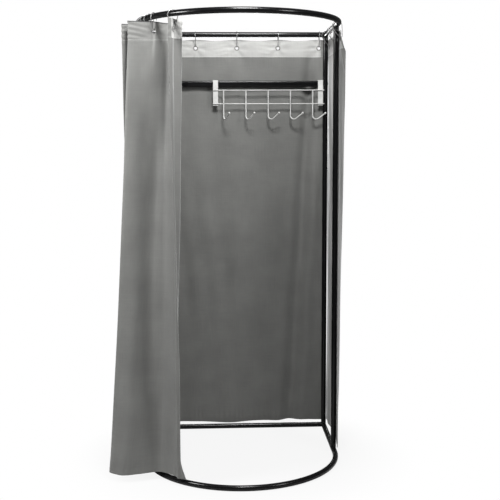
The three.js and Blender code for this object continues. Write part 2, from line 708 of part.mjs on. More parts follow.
/** The gather at one height, from its fixed edge: the places under the rings, each with its folds. */
function gather(edgeOffset, ringAngles, ringShares, turns, foldAngles, foldShares) {
  return [fold(0, edgeOffset), ...ringAngles.flatMap((angle, ring) => [
    ...eyeletFolds(angle, FOLD_DEPTH * ringShares[ring], turns[ring]),
    ...foldAngles[ring].map((degrees, i) => fold(degrees * DEGREE, FOLD_DEPTH * foldShares[ring][i])),
  ])];
}

/** Places of the cloth's columns along a spline through the folds. */
function gatherLine(folds) {
  const curve = new THREE.CatmullRomCurve3(
    folds.map(({ place }) => new THREE.Vector3(place.x, place.y, 0)), false, 'centripetal');
  const spans = folds.length - 1;
  const inside = folds.slice(0, spans).flatMap(({ steps }, i) => (
    Array.from({ length: steps }, (_, step) => curve.getPoint((i + step / steps) / spans))));
  return [...inside, curve.getPoint(1)];
}

/** How far a place of the gather has moved from its top line to its hem line. */
function settled(share, leading) {
  const sunk = sagging(freeShare(share), HANG_SAG_SHARE);
  const full = sagging(LEAD_SETTLE_SHARE, HANG_SAG_SHARE);
  return THREE.MathUtils.lerp(sunk, Math.min(1, sunk / full), leading);
}

/**
 * The gathered front curtain, from its fixed edge beside the left post to its leading edge, which
 * turns back over the front at the top and has opened out well above the hem.
 */
function frontCurtain() {
  const onWire = FRONT_RING_ANGLES.map(() => 0);
  const top = gatherLine(gather(
    -CLOTH_OFFSET / 2, FRONT_RING_ANGLES, onWire, TOP_TURNS, TOP_FOLD_ANGLES, TOP_FOLD_SHARES));
  const hem = gatherLine(gather(
    0, HEM_RING_ANGLES, HEM_RING_SHARES, HEM_TURNS, HEM_FOLD_ANGLES, HEM_FOLD_SHARES));
  const rings = FRONT_RING_ANGLES.map((angle) => bowPlace(angle));
  const valley = top.length - 1 - LEADING_COLUMNS;
  const grid = rowShares(FRONT_ROWS).map((share) => top.map((above, c) => {
    const droop = Math.min(1, Math.min(...rings.map((ring) => ring.distanceTo(above))) / FOLD_DEPTH);
    const height = CLOTH_TOP - TOP_SCALLOP * droop;
    const leading = THREE.MathUtils.clamp((c - valley) / OPENING_COLUMNS, 0, 1);
    const here = above.clone().lerp(hem[c], settled(share, leading));
    return here.setZ(height + (HEM_Z - height) * share);
  }));
  const eyelets = FRONT_RING_ANGLES.map((angle, i) => {
    const turned = angle + TOP_TURNS[i];
    return {
      place: bowPlace(angle),
      facing: new THREE.Vector3(Math.cos(turned), Math.sin(turned), 0),
    };
  });
  return cutEyelets(clothSheet(grid), eyelets);
}

// The fitting room

const fittingRoom = new THREE.Group();
fittingRoom.add(frame(), hangingRail(), hookRack(), fixedRings(), bowRings());
fittingRoom.add(piece('back_curtain', backCurtain(), cloth));
fittingRoom.add(piece('left_curtain', sideCurtain(-1), cloth));
fittingRoom.add(piece('right_curtain', sideCurtain(1), cloth));
fittingRoom.add(piece('front_curtain', frontCurtain(), cloth));

export default fittingRoom;
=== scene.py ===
"""The looks of a portable fitting room: tube frame, hanging rail, hook rack, rings and curtains.

Metres, +Z up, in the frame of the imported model: the origin is on the floor under the middle of
the base back bar, +X is to the right of a person who faces the doorway, the bow points to -Y.
"""

import logging
import math
from collections.abc import Callable, Iterable, Sequence
from dataclasses import dataclass, field
from enum import Enum

import bpy
import bmesh
import numpy as np
from mathutils import Matrix, Vector


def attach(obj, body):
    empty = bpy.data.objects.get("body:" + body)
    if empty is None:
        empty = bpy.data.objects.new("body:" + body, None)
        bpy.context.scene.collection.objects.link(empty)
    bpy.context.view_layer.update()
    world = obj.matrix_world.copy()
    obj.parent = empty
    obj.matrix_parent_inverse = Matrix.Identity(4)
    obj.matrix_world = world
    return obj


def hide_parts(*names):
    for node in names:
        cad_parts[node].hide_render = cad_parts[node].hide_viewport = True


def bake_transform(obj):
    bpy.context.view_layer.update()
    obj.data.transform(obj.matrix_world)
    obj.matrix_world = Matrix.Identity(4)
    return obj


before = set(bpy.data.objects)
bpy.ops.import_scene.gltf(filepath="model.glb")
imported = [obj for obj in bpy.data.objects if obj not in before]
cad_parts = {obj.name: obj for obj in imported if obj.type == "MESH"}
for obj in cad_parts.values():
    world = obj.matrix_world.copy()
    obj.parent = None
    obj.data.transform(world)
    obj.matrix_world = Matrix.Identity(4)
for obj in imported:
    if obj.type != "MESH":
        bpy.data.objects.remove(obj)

log = logging.getLogger("fitting_room")

MM = 0.001

# Short names for types
Socket = bpy.types.NodeSocket
Piece = bpy.types.Object
Shell = tuple[Sequence, Sequence]
Outline = list[tuple[float, float]]
Point = tuple[float, float, float]

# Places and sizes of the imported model
HEIGHT = 2.0
TUBE_R = 12.5 * MM
TUBE_WALL = 1.2 * MM
TUBE_FACETS = 12
FLAT_SHARE = math.cos(math.pi / TUBE_FACETS)
SEAT = 0.3 * MM
HALF = 437.5 * MM
SIDE_SPAN = 380 * MM
BOW_LEAD = 45 * MM
BOW_Y = -SIDE_SPAN - BOW_LEAD
BASE_Z = TUBE_R * FLAT_SHARE
TOP_Z = HEIGHT - TUBE_R * FLAT_SHARE
STUB = 18 * MM
TUBE_START = STUB + SEAT
JOINT_Z = 1.0
RAIL_Z = 1.75
SPIGOT_R = TUBE_R - TUBE_WALL - SEAT / FLAT_SHARE

# The curtains' shared sizes
CLOTH_OFFSET = TUBE_R + 3 * MM
RING_REACH = 58 * MM
RING_WIRE_R = 1.5 * MM
RING_FACETS = 14
EYELET_R = 8 * MM
EYELET_PLAY = 0.9 * MM
EYELET_Z = TOP_Z - RING_REACH + RING_WIRE_R + EYELET_PLAY - EYELET_R
EYELET_DEPTH = 40 * MM
PINNED_DEPTH = 56 * MM
CLOTH_TOP = EYELET_Z + EYELET_DEPTH
HEM_Z = 34 * MM
DROP = CLOTH_TOP - HEM_Z
TOP_SCALLOP = 5 * MM
PINNED_SHARE = PINNED_DEPTH / DROP
FLAT_HEIGHT = 1.96
FRONT_ANGLES = tuple(math.radians(a) for a in (3, 9, 15, 21, 27, 33, 49.5))
FRONT_TURNS = tuple(math.radians(a) for a in (0, 0, 0, 0, 0, 27, -27))

X, Y, Z = Vector((1, 0, 0)), Vector((0, 1, 0)), Vector((0, 0, 1))


class Side(Enum):
    """The two sides of the room, as a person sees them who faces the doorway."""

    LEFT = "left"
    RIGHT = "right"

    @property
    def sign(self) -> int:
        """-1 on the left and +1 on the right."""
        return -1 if self is Side.LEFT else 1


class Body(Enum):
    """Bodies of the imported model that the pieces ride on."""

    FRAME = "frame"
    RACK = "hook_rack"
    LEADER = "ring_7"


class Slot(Enum):
    """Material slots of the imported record."""

    ENAMEL = "black_enamel"
    MOULDED = "moulded_black"
    ZINC = "zinc"
    WHITE = "white_coat"
    WIRE = "ring_wire"
    CLOTH = "cloth"


# Meshes


def new_piece(name: str, points: Sequence, faces: Sequence, sharp: float = 35.0) -> Piece:
    """Makes an object from points and faces, smooth but for its sharp edges.

    Args:
        name: the piece's name.
        points: corner points in the row frame, in metres.
        faces: lists of point numbers.
        sharp: edges that bend more than this many degrees stay sharp.

    Returns:
        The new object, linked to the scene.
    """
    mesh = bpy.data.meshes.new(name)
    mesh.from_pydata([tuple(map(float, p)) for p in points], [], [tuple(map(int, f)) for f in faces])
    mesh.validate()
    mesh.polygons.foreach_set("use_smooth", [True] * len(mesh.polygons))
    mesh.set_sharp_from_angle(angle=math.radians(sharp))
    mesh.update()
    piece = bpy.data.objects.new(name, mesh)
    bpy.context.scene.collection.objects.link(piece)
    return piece


def joined(parts: Iterable[Shell]) -> Shell:
    """Puts several shells into one.

    Args:
        parts: the shells, each of points and faces.

    Returns:
        One list of points and one of faces.
    """
    points: list = []
    faces: list = []
    for shell_points, shell_faces in parts:
        start = len(points)
        points.extend(shell_points)
        faces.extend([[start + i for i in face] for face in shell_faces])
    return points, faces


def ring_faces(rows: int, sides: int, closed_rows: bool = False) -> list[list[int]]:
    """Faces between rows of points that each go once round.

    Args:
        rows: how many rows there are.
        sides: how many points each row has.
        closed_rows: True where the last row joins the first.

    Returns:
        Four-cornered faces, as lists of point numbers.
    """
    faces = []
    for row in range(rows if closed_rows else rows - 1):
        here, after = row * sides, ((row + 1) % rows) * sides
        for i in range(sides):
            j = (i + 1) % sides
            faces.append([here + i, here + j, after + j, after + i])
    return faces


def end_caps(rows: int, sides: int) -> list[list[int]]:
    """The two flat faces that close the first and the last of the rows."""
    return [list(range(sides))[::-1], [(rows - 1) * sides + i for i in range(sides)]]


def turned(profile: Sequence[tuple[float, float]], sides: int, closed: bool = False) -> Shell:
    """A shell turned about +Z.

    Args:
        profile: (radius, height) from the bottom to the top, outside first where it is closed.
        sides: how many points go round.
        closed: True where the profile's last point joins its first, as on a tube with a bore.

    Returns:
        Points and faces. An open profile's ends are capped.
    """
    points = []
    for radius, height in profile:
        for i in range(sides):
            turn = math.tau * (i + 0.5) / sides
            points.append((radius * math.cos(turn), radius * math.sin(turn), height))
    faces = ring_faces(len(profile), sides, closed)
    if not closed:
        faces += end_caps(len(profile), sides)
    return points, faces


def moved(shell: Shell, matrix: Matrix) -> Shell:
    """The same shell, moved by a matrix."""
    return [tuple(matrix @ Vector(p)) for p in shell[0]], list(shell[1])


def aim(direction: Vector, start: Vector = Vector()) -> Matrix:
    """A matrix that turns +Z to a direction and moves the origin to a start point."""
    return Matrix.Translation(start) @ direction.to_track_quat("Z", "X").to_matrix().to_4x4()


def tube_profile(length: float, radius: float, bore: float, chamfer: float) -> Outline:
    """The closed profile of a tube with a small chamfer at both ends.

    Args:
        length: from end to end.
        radius: the outer radius.
        bore: the inner radius.
        chamfer: how wide the chamfer of each outer edge is.

    Returns:
        The profile, for a closed turned shell.
    """
    return [
        (radius - chamfer, 0.0), (radius, chamfer), (radius, length - chamfer),
        (radius - chamfer, length), (bore, length), (bore, 0.0),
    ]


def swept(
    route: Sequence, radius: float | Sequence[float], sides: int, first: Vector | None = None
) -> Shell:
    """A round rod along a route of points.

    Args:
        route: points of the centreline.
        radius: one radius, or one for each point.
        sides: how many points go round.
        first: a direction that the first row of points starts from.

    Returns:
        Points and faces, with both ends capped.
    """
    path = [Vector(p) for p in route]
    radii = [radius] * len(path) if isinstance(radius, float) else list(radius)
    tangents = []
    for i in range(len(path)):
        ahead, behind = path[min(i + 1, len(path) - 1)], path[max(i - 1, 0)]
        tangents.append((ahead - behind).normalized())
    across = first or tangents[0].orthogonal()
    points = []
    for place, tangent, r in zip(path, tangents, radii):
        across = (across - tangent * across.dot(tangent)).normalized()
        up = tangent.cross(across)
        for i in range(sides):
            turn = math.tau * i / sides
            points.append(tuple(place + across * (r * math.cos(turn)) + up * (r * math.sin(turn))))
    return points, ring_faces(len(path), sides) + end_caps(len(path), sides)


def arc(
    centre: Vector, radius: float, start: float, end: float, steps: int, across: Vector, up: Vector
) -> list[Vector]:
    """Points round part of a circle in the plane of two unit directions."""
    turns = np.linspace(start, end, steps + 1)
    return [centre + across * (radius * math.cos(t)) + up * (radius * math.sin(t)) for t in turns]


def bow_place(angle: float, offset: float = 0.0) -> tuple[float, float]:
    """A place on the bow's centreline by its angle from the left end, or beside it by an offset."""
    return -(HALF + offset) * math.cos(angle), BOW_Y - (HALF + offset) * math.sin(angle)


def apply_modifiers(piece: Piece) -> None:
    """Keeps in a piece's mesh what its modifiers make of it.

    Args:
        piece: the piece, which loses its modifiers.
    """
    result = piece.evaluated_get(bpy.context.evaluated_depsgraph_get())
    solid = bpy.data.meshes.new_from_object(result)
    piece.modifiers.clear()
    piece.data = solid


def round_edges(piece: Piece, width: float, segments: int = 2) -> None:
    """Bevels the sharp edges of a piece and keeps the result in its mesh.

    Args:
        piece: the piece.
        width: how wide each bevel is.
        segments: how many faces go round each edge.
    """
    bevel = piece.modifiers.new("round_edges", "BEVEL")
    bevel.width, bevel.segments, bevel.limit_method = width, segments, "ANGLE"
    bevel.angle_limit = math.radians(40)
    bevel.harden_normals = False
    apply_modifiers(piece)
    piece.data.name = piece.name


# Shader node groups


class Nodes:
    """Short calls for building one node tree."""

    def __init__(self, tree: bpy.types.NodeTree) -> None:
        """Keeps the tree that the nodes go into."""
        self.tree = tree

    def add(self, kind: str, **values: object) -> bpy.types.Node:
        """Adds a node and sets its properties.

        Args:
            kind: the node's type in Blender.
            values: its properties by name.

        Returns:
            The new node.
        """
        node = self.tree.nodes.new(kind)
        for key, value in values.items():
            setattr(node, key, value)
        return node

    def link(self, source: Socket, target: Socket) -> None:
        """Links two sockets."""
        self.tree.links.new(source, target)

    def math(self, operation: str, *inputs: object, clamp: bool = False) -> Socket:
        """Adds a Math node.

        Args:
            operation: the operation's name in Blender.
            inputs: numbers or sockets, one for each input in order.
            clamp: whether the result is kept between 0 and 1.

        Returns:
            The node's output.
        """
        node = self.add("ShaderNodeMath", operation=operation, use_clamp=clamp)
        for socket, value in zip(node.inputs, inputs):
            if isinstance(value, (int, float)):
                socket.default_value = value
            else:
                self.link(value, socket)
        return node.outputs[0]

    def noise(self, vector: Socket, scale: float, detail: float) -> Socket:
        """Adds a Noise Texture node.

        Args:
            vector: the place that it reads.
            scale: how many features go to a unit of that place.
            detail: how many finer layers are added.

        Returns:
            Its value, round a middle of one half.
        """
        node = self.add("ShaderNodeTexNoise")
        node.inputs["Scale"].default_value = scale
        node.inputs["Detail"].default_value = detail
        self.link(vector, node.inputs["Vector"])
        return node.outputs[0]

    def stretch(self, vector: Socket, scale: Point) -> Socket:
        """Scales a vector.

        Args:
            vector: the vector.
            scale: the factor along each axis.

        Returns:
            The scaled vector.
        """
        node = self.add("ShaderNodeVectorMath", operation="MULTIPLY")
        node.inputs[1].default_value = scale
        self.link(vector, node.inputs[0])
        return node.outputs[0]

    def ramp(self, value: Socket, low: float, high: float, out_low: float = 0.0,
             out_high: float = 1.0) -> Socket:
        """Maps a value's range onto another with a smooth step.

        Args:
            value: the value.
            low: where its range starts.
            high: where its range ends.
            out_low: the result at the start.
            out_high: the result at the end.

        Returns:
            The result.
        """
        node = self.add("ShaderNodeMapRange", interpolation_type="SMOOTHSTEP")
        for socket, number in zip(node.inputs[1:5], (low, high, out_low, out_high)):
            socket.default_value = number
        self.link(value, node.inputs[0])
        return node.outputs[0]

    def mix(self, factor: object, first: object, second: object, blend: str = "MIX") -> Socket:
        """Mixes two colours.

        Args:
            factor: the share of the second one, as a number or a socket.
            first: a colour or a socket.
            second: a colour or a socket.
            blend: the blend mode's name in Blender.

        Returns:
            The mixed colour.
        """
        node = self.add("ShaderNodeMix", data_type="RGBA", blend_type=blend)
        for number, value in zip((0, 6, 7), (factor, first, second)):
            if isinstance(value, Socket):
                self.link(value, node.inputs[number])
            else:
                node.inputs[number].default_value = value
        return node.outputs[2]

    def grey(self, value: Socket) -> Socket:
        """Makes a grey of one value.

        Args:
            value: the value.

        Returns:
            A vector that a colour socket takes.
        """
        combine = self.add("ShaderNodeCombineXYZ")
        for socket in combine.inputs:
            self.link(value, socket)
        return combine.outputs[0]

    def group(self, tree: bpy.types.NodeTree, vector: Socket, **values: float) -> bpy.types.Node:
        """Places a node group.

        Args:
            tree: the group.
            vector: the place that it reads.
            values: its other inputs by name, where they aren't the usual ones.

        Returns:
            The group's node.
        """
        node = self.add("ShaderNodeGroup", node_tree=tree)
        self.link(vector, node.inputs["Vector"])
        for key, value in values.items():
            node.inputs[key].default_value = value
        return node

    def bump(
        self, height: Socket, strength: float, distance: float, normal: Socket | None = None
    ) -> Socket:
        """Adds a Bump node.

        Args:
            height: the height, from 0 to 1.
            strength: how strongly it shows.
            distance: how far the height reaches, in metres.
            normal: the normal that it starts from.

        Returns:
            The bumped normal.
        """
        node = self.add("ShaderNodeBump")
        node.inputs["Strength"].default_value = strength
        node.inputs["Distance"].default_value = distance
        self.link(height, node.inputs["Height"])
        if normal:
            self.link(normal, node.inputs["Normal"])
        return node.outputs[0]


def new_material(
    name: str, values: dict[str, object]
) -> tuple[bpy.types.Material, Nodes, bpy.types.Node]:
    """Starts a material.

    Args:
        name: the material's name.
        values: the Principled shader's plain values by socket name.

    Returns:
        The material, its node helper and its Principled shader.
    """
    material = bpy.data.materials.new(name)
    material.use_nodes = True
    shader = material.node_tree.nodes["Principled BSDF"]
    for key, value in values.items():
        shader.inputs[key].default_value = value
    return material, Nodes(material.node_tree), shader


def rgba(colour: Sequence[float]) -> tuple[float, float, float, float]:
    """A colour with full alpha."""
    return (colour[0], colour[1], colour[2], 1.0)


class Effects:
    """The node groups that several finishes share, each built once."""

    MOTTLE_SCALE = 30.0

    def __init__(self) -> None:
        """Builds the groups."""
        self.weave = self._weave()
        self.mottle = self._mottle()
        self.wear = self._wear()

    @staticmethod
    def _group(
        name: str, inputs: dict[str, float | None], outputs: Sequence[str]
    ) -> tuple[Nodes, bpy.types.Node, bpy.types.Node]:
        """Starts a group whose outputs are all single values.

        Args:
            name: the group's name.
            inputs: input names with their values, or None for a vector.
            outputs: output names.

        Returns:
            The node helper, the group's input node and its output node.
        """
        tree = bpy.data.node_groups.new(name, "ShaderNodeTree")
        for key, value in inputs.items():
            kind = "NodeSocketVector" if value is None else "NodeSocketFloat"
            socket = tree.interface.new_socket(name=key, in_out="INPUT", socket_type=kind)
            if value is not None:
                socket.default_value = value
        for key in outputs:
            tree.interface.new_socket(name=key, in_out="OUTPUT", socket_type="NodeSocketFloat")
        nodes = Nodes(tree)
        return nodes, nodes.add("NodeGroupInput"), nodes.add("NodeGroupOutput")

    def _weave(self) -> bpy.types.NodeTree:
        """Plain weave: thread height, and a shade that varies along single threads.

        Returns:
            The group.
        """
        n, given, out = self._group(
            "plain_weave", {"Vector": None, "Thread": 0.0009, "Slub": 0.5}, ("Height", "Shade"))
        fine, long = 420.0, 9.0
        apart = n.add("ShaderNodeSeparateXYZ")
        n.link(given.outputs["Vector"], apart.inputs[0])
        rate = n.math("DIVIDE", math.pi, given.outputs["Thread"])
        warp = n.math("SINE", n.math("MULTIPLY", apart.outputs[0], rate))
        weft = n.math("SINE", n.math("MULTIPLY", apart.outputs[1], rate))
        crossing = n.math("MULTIPLY", warp, weft)
        height = n.math("MULTIPLY_ADD", crossing, 0.5, 0.5)
        down = n.noise(n.stretch(given.outputs["Vector"], (fine, long, 1.0)), scale=1.0, detail=2.0)
        over = n.noise(n.stretch(given.outputs["Vector"], (long, fine, 1.0)), scale=1.0, detail=2.0)
        slub = n.math("SUBTRACT", n.math("ADD", down, over), 1.0)
        shade = n.math("MULTIPLY_ADD", slub, given.outputs["Slub"], 1.0)
        n.link(height, out.inputs["Height"])
        n.link(shade, out.inputs["Shade"])
        return n.tree

    def _mottle(self) -> bpy.types.NodeTree:
        """Soft cloudy variation, coarse and fine, round a middle of one half.

        Returns:
            The group.
        """
        n, given, out = self._group(
            "mottle", {"Vector": None, "Scale": self.MOTTLE_SCALE, "Fine": 12.0}, ("Cloud", "Grain"))
        coarse = given.outputs["Scale"]
        fine = n.math("MULTIPLY", coarse, given.outputs["Fine"])
        for name, scale, detail in (("Cloud", coarse, 4.0), ("Grain", fine, 2.0)):
            noise = n.add("ShaderNodeTexNoise")
            noise.inputs["Detail"].default_value = detail
            n.link(given.outputs["Vector"], noise.inputs["Vector"])
            n.link(scale, noise.inputs["Scale"])
            n.link(noise.outputs[0], out.inputs[name])
        return n.tree

    def _wear(self) -> bpy.types.NodeTree:
        """A mask of faint rubbed patches and hairline scratches.

        Returns:
            The group.
        """
        n, given, out = self._group(
            "handling_wear", {"Vector": None, "Scale": 24.0, "Amount": 0.4}, ("Mask",))
        hairline = 900.0, 700.0, 60.0
        patches = n.add("ShaderNodeTexNoise")
        patches.inputs["Detail"].default_value = 6.0
        n.link(given.outputs["Vector"], patches.inputs["Vector"])
        n.link(given.outputs["Scale"], patches.inputs["Scale"])
        hair = n.noise(n.stretch(given.outputs["Vector"], hairline), scale=1.0, detail=1.0)
        rubbed = n.ramp(patches.outputs[0], low=0.52, high=0.72)
        lines = n.ramp(hair, low=0.66, high=0.74)
        both = n.math("MULTIPLY", rubbed, n.math("MULTIPLY_ADD", lines, 0.7, 0.3))
        n.link(n.math("MULTIPLY", both, given.outputs["Amount"], clamp=True), out.inputs["Mask"])
        return n.tree


# Finishes


@dataclass(frozen=True)
class Finish:
    """A solid finish: its colour, gloss and surface, with slight variation over the piece."""

    name: str
    colour: tuple[float, float, float]
    worn: tuple[float, float, float]
    roughness: float
    spread: float = 0.08
    metallic: float = 0.0
    coat: float = 0.0
    specular: float = 0.5
    grain: float = 900.0
    bump: float = 0.00004
    bump_strength: float = 0.6
    wear: float = 0.4
    worn_roughness: float = 0.3
    shading: float = 0.12
    coat_roughness: float = 0.08

    def build(self, effects: Effects) -> bpy.types.Material:
        """Builds the material.

        Args:
            effects: the shared node groups.

        Returns:
            The material, ready for a piece.
        """
        material, n, shader = new_material(self.name, {
            "Metallic": self.metallic, "Coat Weight": self.coat, "Coat Roughness": self.coat_roughness,
            "Specular IOR Level": self.specular})
        place = n.add("ShaderNodeTexCoord").outputs["Object"]
        mottle = n.group(effects.mottle, place, Fine=self.grain / Effects.MOTTLE_SCALE)
        cloud = mottle.outputs["Cloud"]
        rubbed = n.group(effects.wear, place, Amount=self.wear).outputs["Mask"]
        shade = n.ramp(cloud, 0.25, 0.75, 1 - self.shading, 1 + self.shading)
        toned = n.mix(1.0, rgba(self.colour), n.grey(shade), "MULTIPLY")
        n.link(n.mix(rubbed, toned, rgba(self.worn)), shader.inputs["Base Color"])
        rough = n.math("MULTIPLY_ADD", cloud, 2 * self.spread, self.roughness - self.spread)
        rough = n.math("MULTIPLY_ADD", rubbed, self.worn_roughness, rough, clamp=True)
        n.link(rough, shader.inputs["Roughness"])
        n.link(n.bump(mottle.outputs["Grain"], self.bump_strength, self.bump), shader.inputs["Normal"])
        return material


@dataclass(frozen=True)
class ClothFinish:
    """Woven cloth that reads the curtain's own flat coordinates: metres across, metres up."""

    name: str
    colour: tuple[float, float, float]
    tape: tuple[float, float, float]
    heading: tuple[float, float, float]
    roughness: float = 0.6
    roughness_spread: float = 0.08
    sheen: float = 0.5
    sheen_roughness: float = 0.45
    specular: float = 0.35
    slub: float = 0.22
    shading: float = 0.1
    cloud_scale: float = 7.0
    cloud_fine: float = 9.0
    crumple: float = 0.002
    crumple_strength: float = 0.35
    thread: float = 0.0001
    thread_strength: float = 0.3
    seam_blur: float = 0.0006
    stitch_colour: tuple[float, float, float] = (0.75, 0.75, 0.73)
    stitch_pitch: float = 0.0034
    stitch_rise: float = 0.003
    stitch_half: float = 0.0003
    stitch_fade: float = 0.0008

    def build(
        self, effects: Effects, band_depth: float, height: float, inside: bool
    ) -> bpy.types.Material:
        """Builds the material.

        Args:
            effects: the shared node groups.
            band_depth: how far the heading band reaches under the top edge, in metres.
            height: the height of the curtain's flat cloth, in metres.
            inside: whether this is the face with the pale heading tape.

        Returns:
            The material of one face of the cloth.
        """
        material, n, shader = new_material(f"{self.name}_{'inside' if inside else 'outside'}", {
            "Sheen Weight": self.sheen, "Sheen Roughness": self.sheen_roughness,
            "Specular IOR Level": self.specular})
        flat = n.add("ShaderNodeUVMap", uv_map="flat").outputs[0]
        weave = n.group(effects.weave, flat, Slub=self.slub)
        mottle = n.group(effects.mottle, flat, Scale=self.cloud_scale, Fine=self.cloud_fine)
        apart = n.add("ShaderNodeSeparateXYZ")
        n.link(flat, apart.inputs[0])
        seam = height - band_depth
        in_band = n.ramp(apart.outputs[1], seam - self.seam_blur, seam + self.seam_blur)
        body = n.mix(in_band, rgba(self.colour), rgba(self.tape if inside else self.heading))
        cloud = n.ramp(mottle.outputs["Cloud"], 0.2, 0.8, 1 - self.shading, 1 + self.shading)
        shade = n.math("MULTIPLY", weave.outputs["Shade"], cloud)
        toned = n.mix(1.0, body, n.grey(shade), "MULTIPLY")
        stitched = n.mix(self._stitches(n, apart, seam), toned, rgba(self.stitch_colour))
        n.link(stitched, shader.inputs["Base Color"])
        rough = n.math("MULTIPLY_ADD", mottle.outputs["Grain"], 2 * self.roughness_spread,
                       self.roughness - self.roughness_spread)
        n.link(rough, shader.inputs["Roughness"])
        crumpled = n.bump(mottle.outputs["Grain"], self.crumple_strength, self.crumple)
        threads = n.bump(weave.outputs["Height"], self.thread_strength, self.thread, crumpled)
        n.link(threads, shader.inputs["Normal"])
        return material

    def _stitches(self, n: Nodes, apart: bpy.types.Node, seam: float) -> Socket:
        """The row of stitches just above the heading band's seam.

        Args:
            n: the material's node helper.
            apart: the node that gives the flat coordinates one by one.
            seam: the seam's height on the flat cloth.

        Returns:
            How much of the stitch colour shows.
        """
        stitch = n.math("SINE", n.math("MULTIPLY", apart.outputs[0], math.tau / self.stitch_pitch))
        off = n.math("ABSOLUTE", n.math("SUBTRACT", apart.outputs[1], seam + self.stitch_rise))
        row = n.ramp(off, self.stitch_half, self.stitch_fade, 1.0, 0.0)
        return n.math("MULTIPLY", n.math("MULTIPLY", row, n.ramp(stitch, -0.5, 0.2)), 0.5)


class Workshop:
    """Holds the finishes and dresses the pieces with them."""

    FINISHES = {
        Slot.ENAMEL: Finish("gloss_black_enamel", (0.003, 0.003, 0.0033), (0.012, 0.012, 0.012), 0.24, 0.06,
                            coat=0.12, specular=0.2, grain=420.0, bump=0.00006, wear=0.25),
        Slot.MOULDED: Finish("moulded_black_nylon", (0.004, 0.004, 0.004), (0.015, 0.015, 0.015), 0.4, 0.08,
                             specular=0.22, grain=1600.0, bump=0.00008, wear=0.3),
        Slot.ZINC: Finish("zinc_plate", (0.56, 0.57, 0.58), (0.4, 0.4, 0.39), 0.32, 0.1, metallic=1.0,
                          grain=1500.0, bump=0.00003),
        Slot.WHITE: Finish("white_powder_coat", (0.5, 0.5, 0.49), (0.4, 0.39, 0.37), 0.45, 0.08,
                           grain=1300.0, bump=0.00008, wear=0.15),
        Slot.WIRE: Finish("nickel_plate", (0.3, 0.3, 0.3), (0.2, 0.19, 0.18), 0.36, 0.08, metallic=1.0,
                          grain=1500.0, bump=0.00002),
    }
    EYELET = Finish("satin_eyelet", (0.15, 0.15, 0.147), (0.11, 0.11, 0.107), 0.58, 0.06, metallic=0.6,
                    grain=1500.0, bump=0.00003)
    CLOTH = ClothFinish("woven_curtain", (0.132, 0.133, 0.127), (0.345, 0.345, 0.335), (0.15, 0.151, 0.145))
    # Near-black painted shade for the shadowed fold of the heading along the top edge, used on the front
    # curtain's top row
    TOP_EDGE_SHADE = ClothFinish("painted_top_edge_shade", (0.02, 0.02, 0.02), (0.02, 0.02, 0.02), (0.02, 0.02, 0.02))

    def __init__(self, effects: Effects) -> None:
        """Builds the solid finishes.

        Args:
            effects: the shared node groups.
        """
        self.effects = effects
        self.materials = {slot: finish.build(effects) for slot, finish in self.FINISHES.items()}
        self.eyelet = self.EYELET.build(effects)
        self.cloths: dict[float, list[bpy.types.Material]] = {}

    def cloth(self, band_depth: float, height: float) -> list[bpy.types.Material]:
        """The cloth with a heading of one depth, built once.

        Args:
            band_depth: how far the heading band reaches under the top edge, in metres.
            height: the height of the curtain's flat cloth, in metres.

        Returns:
            The materials of its outer face, its inner face and a near-black strip of painted shade along
            its top edge.
        """
        if band_depth not in self.cloths:
            layers = (self.CLOTH, False), (self.CLOTH, True), (self.TOP_EDGE_SHADE, False)
            self.cloths[band_depth] = [
                finish.build(self.effects, band_depth, height, inside) for finish, inside in layers]
        return self.cloths[band_depth]

    def dress(self, piece: Piece, slot: Slot, body: str, *replaced: str) -> Piece:
        """Gives a piece its finish, its body and the nodes that it stands for.

        Args:
            piece: the new object.
            slot: the record's material slot, which also picks the finish.
            body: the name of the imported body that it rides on.
            replaced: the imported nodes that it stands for.

        Returns:
            The same object.
        """
        piece.data.materials.append(self.materials[slot])
        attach(piece, body)
        if replaced:
            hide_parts(*replaced)
        log.info("%s on %s, %d faces", piece.name, body, len(piece.data.polygons))
        return piece

    def keep(self, node: str, slot: Slot) -> None:
        """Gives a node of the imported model, which stays as it is, the better finish.

        Args:
            node: the node's name.
            slot: the record's material slot, which picks the finish.
        """
        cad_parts[node].data.materials.clear()
        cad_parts[node].data.materials.append(self.materials[slot])
        log.info("%s keeps its solid", node)


# Frame and rail


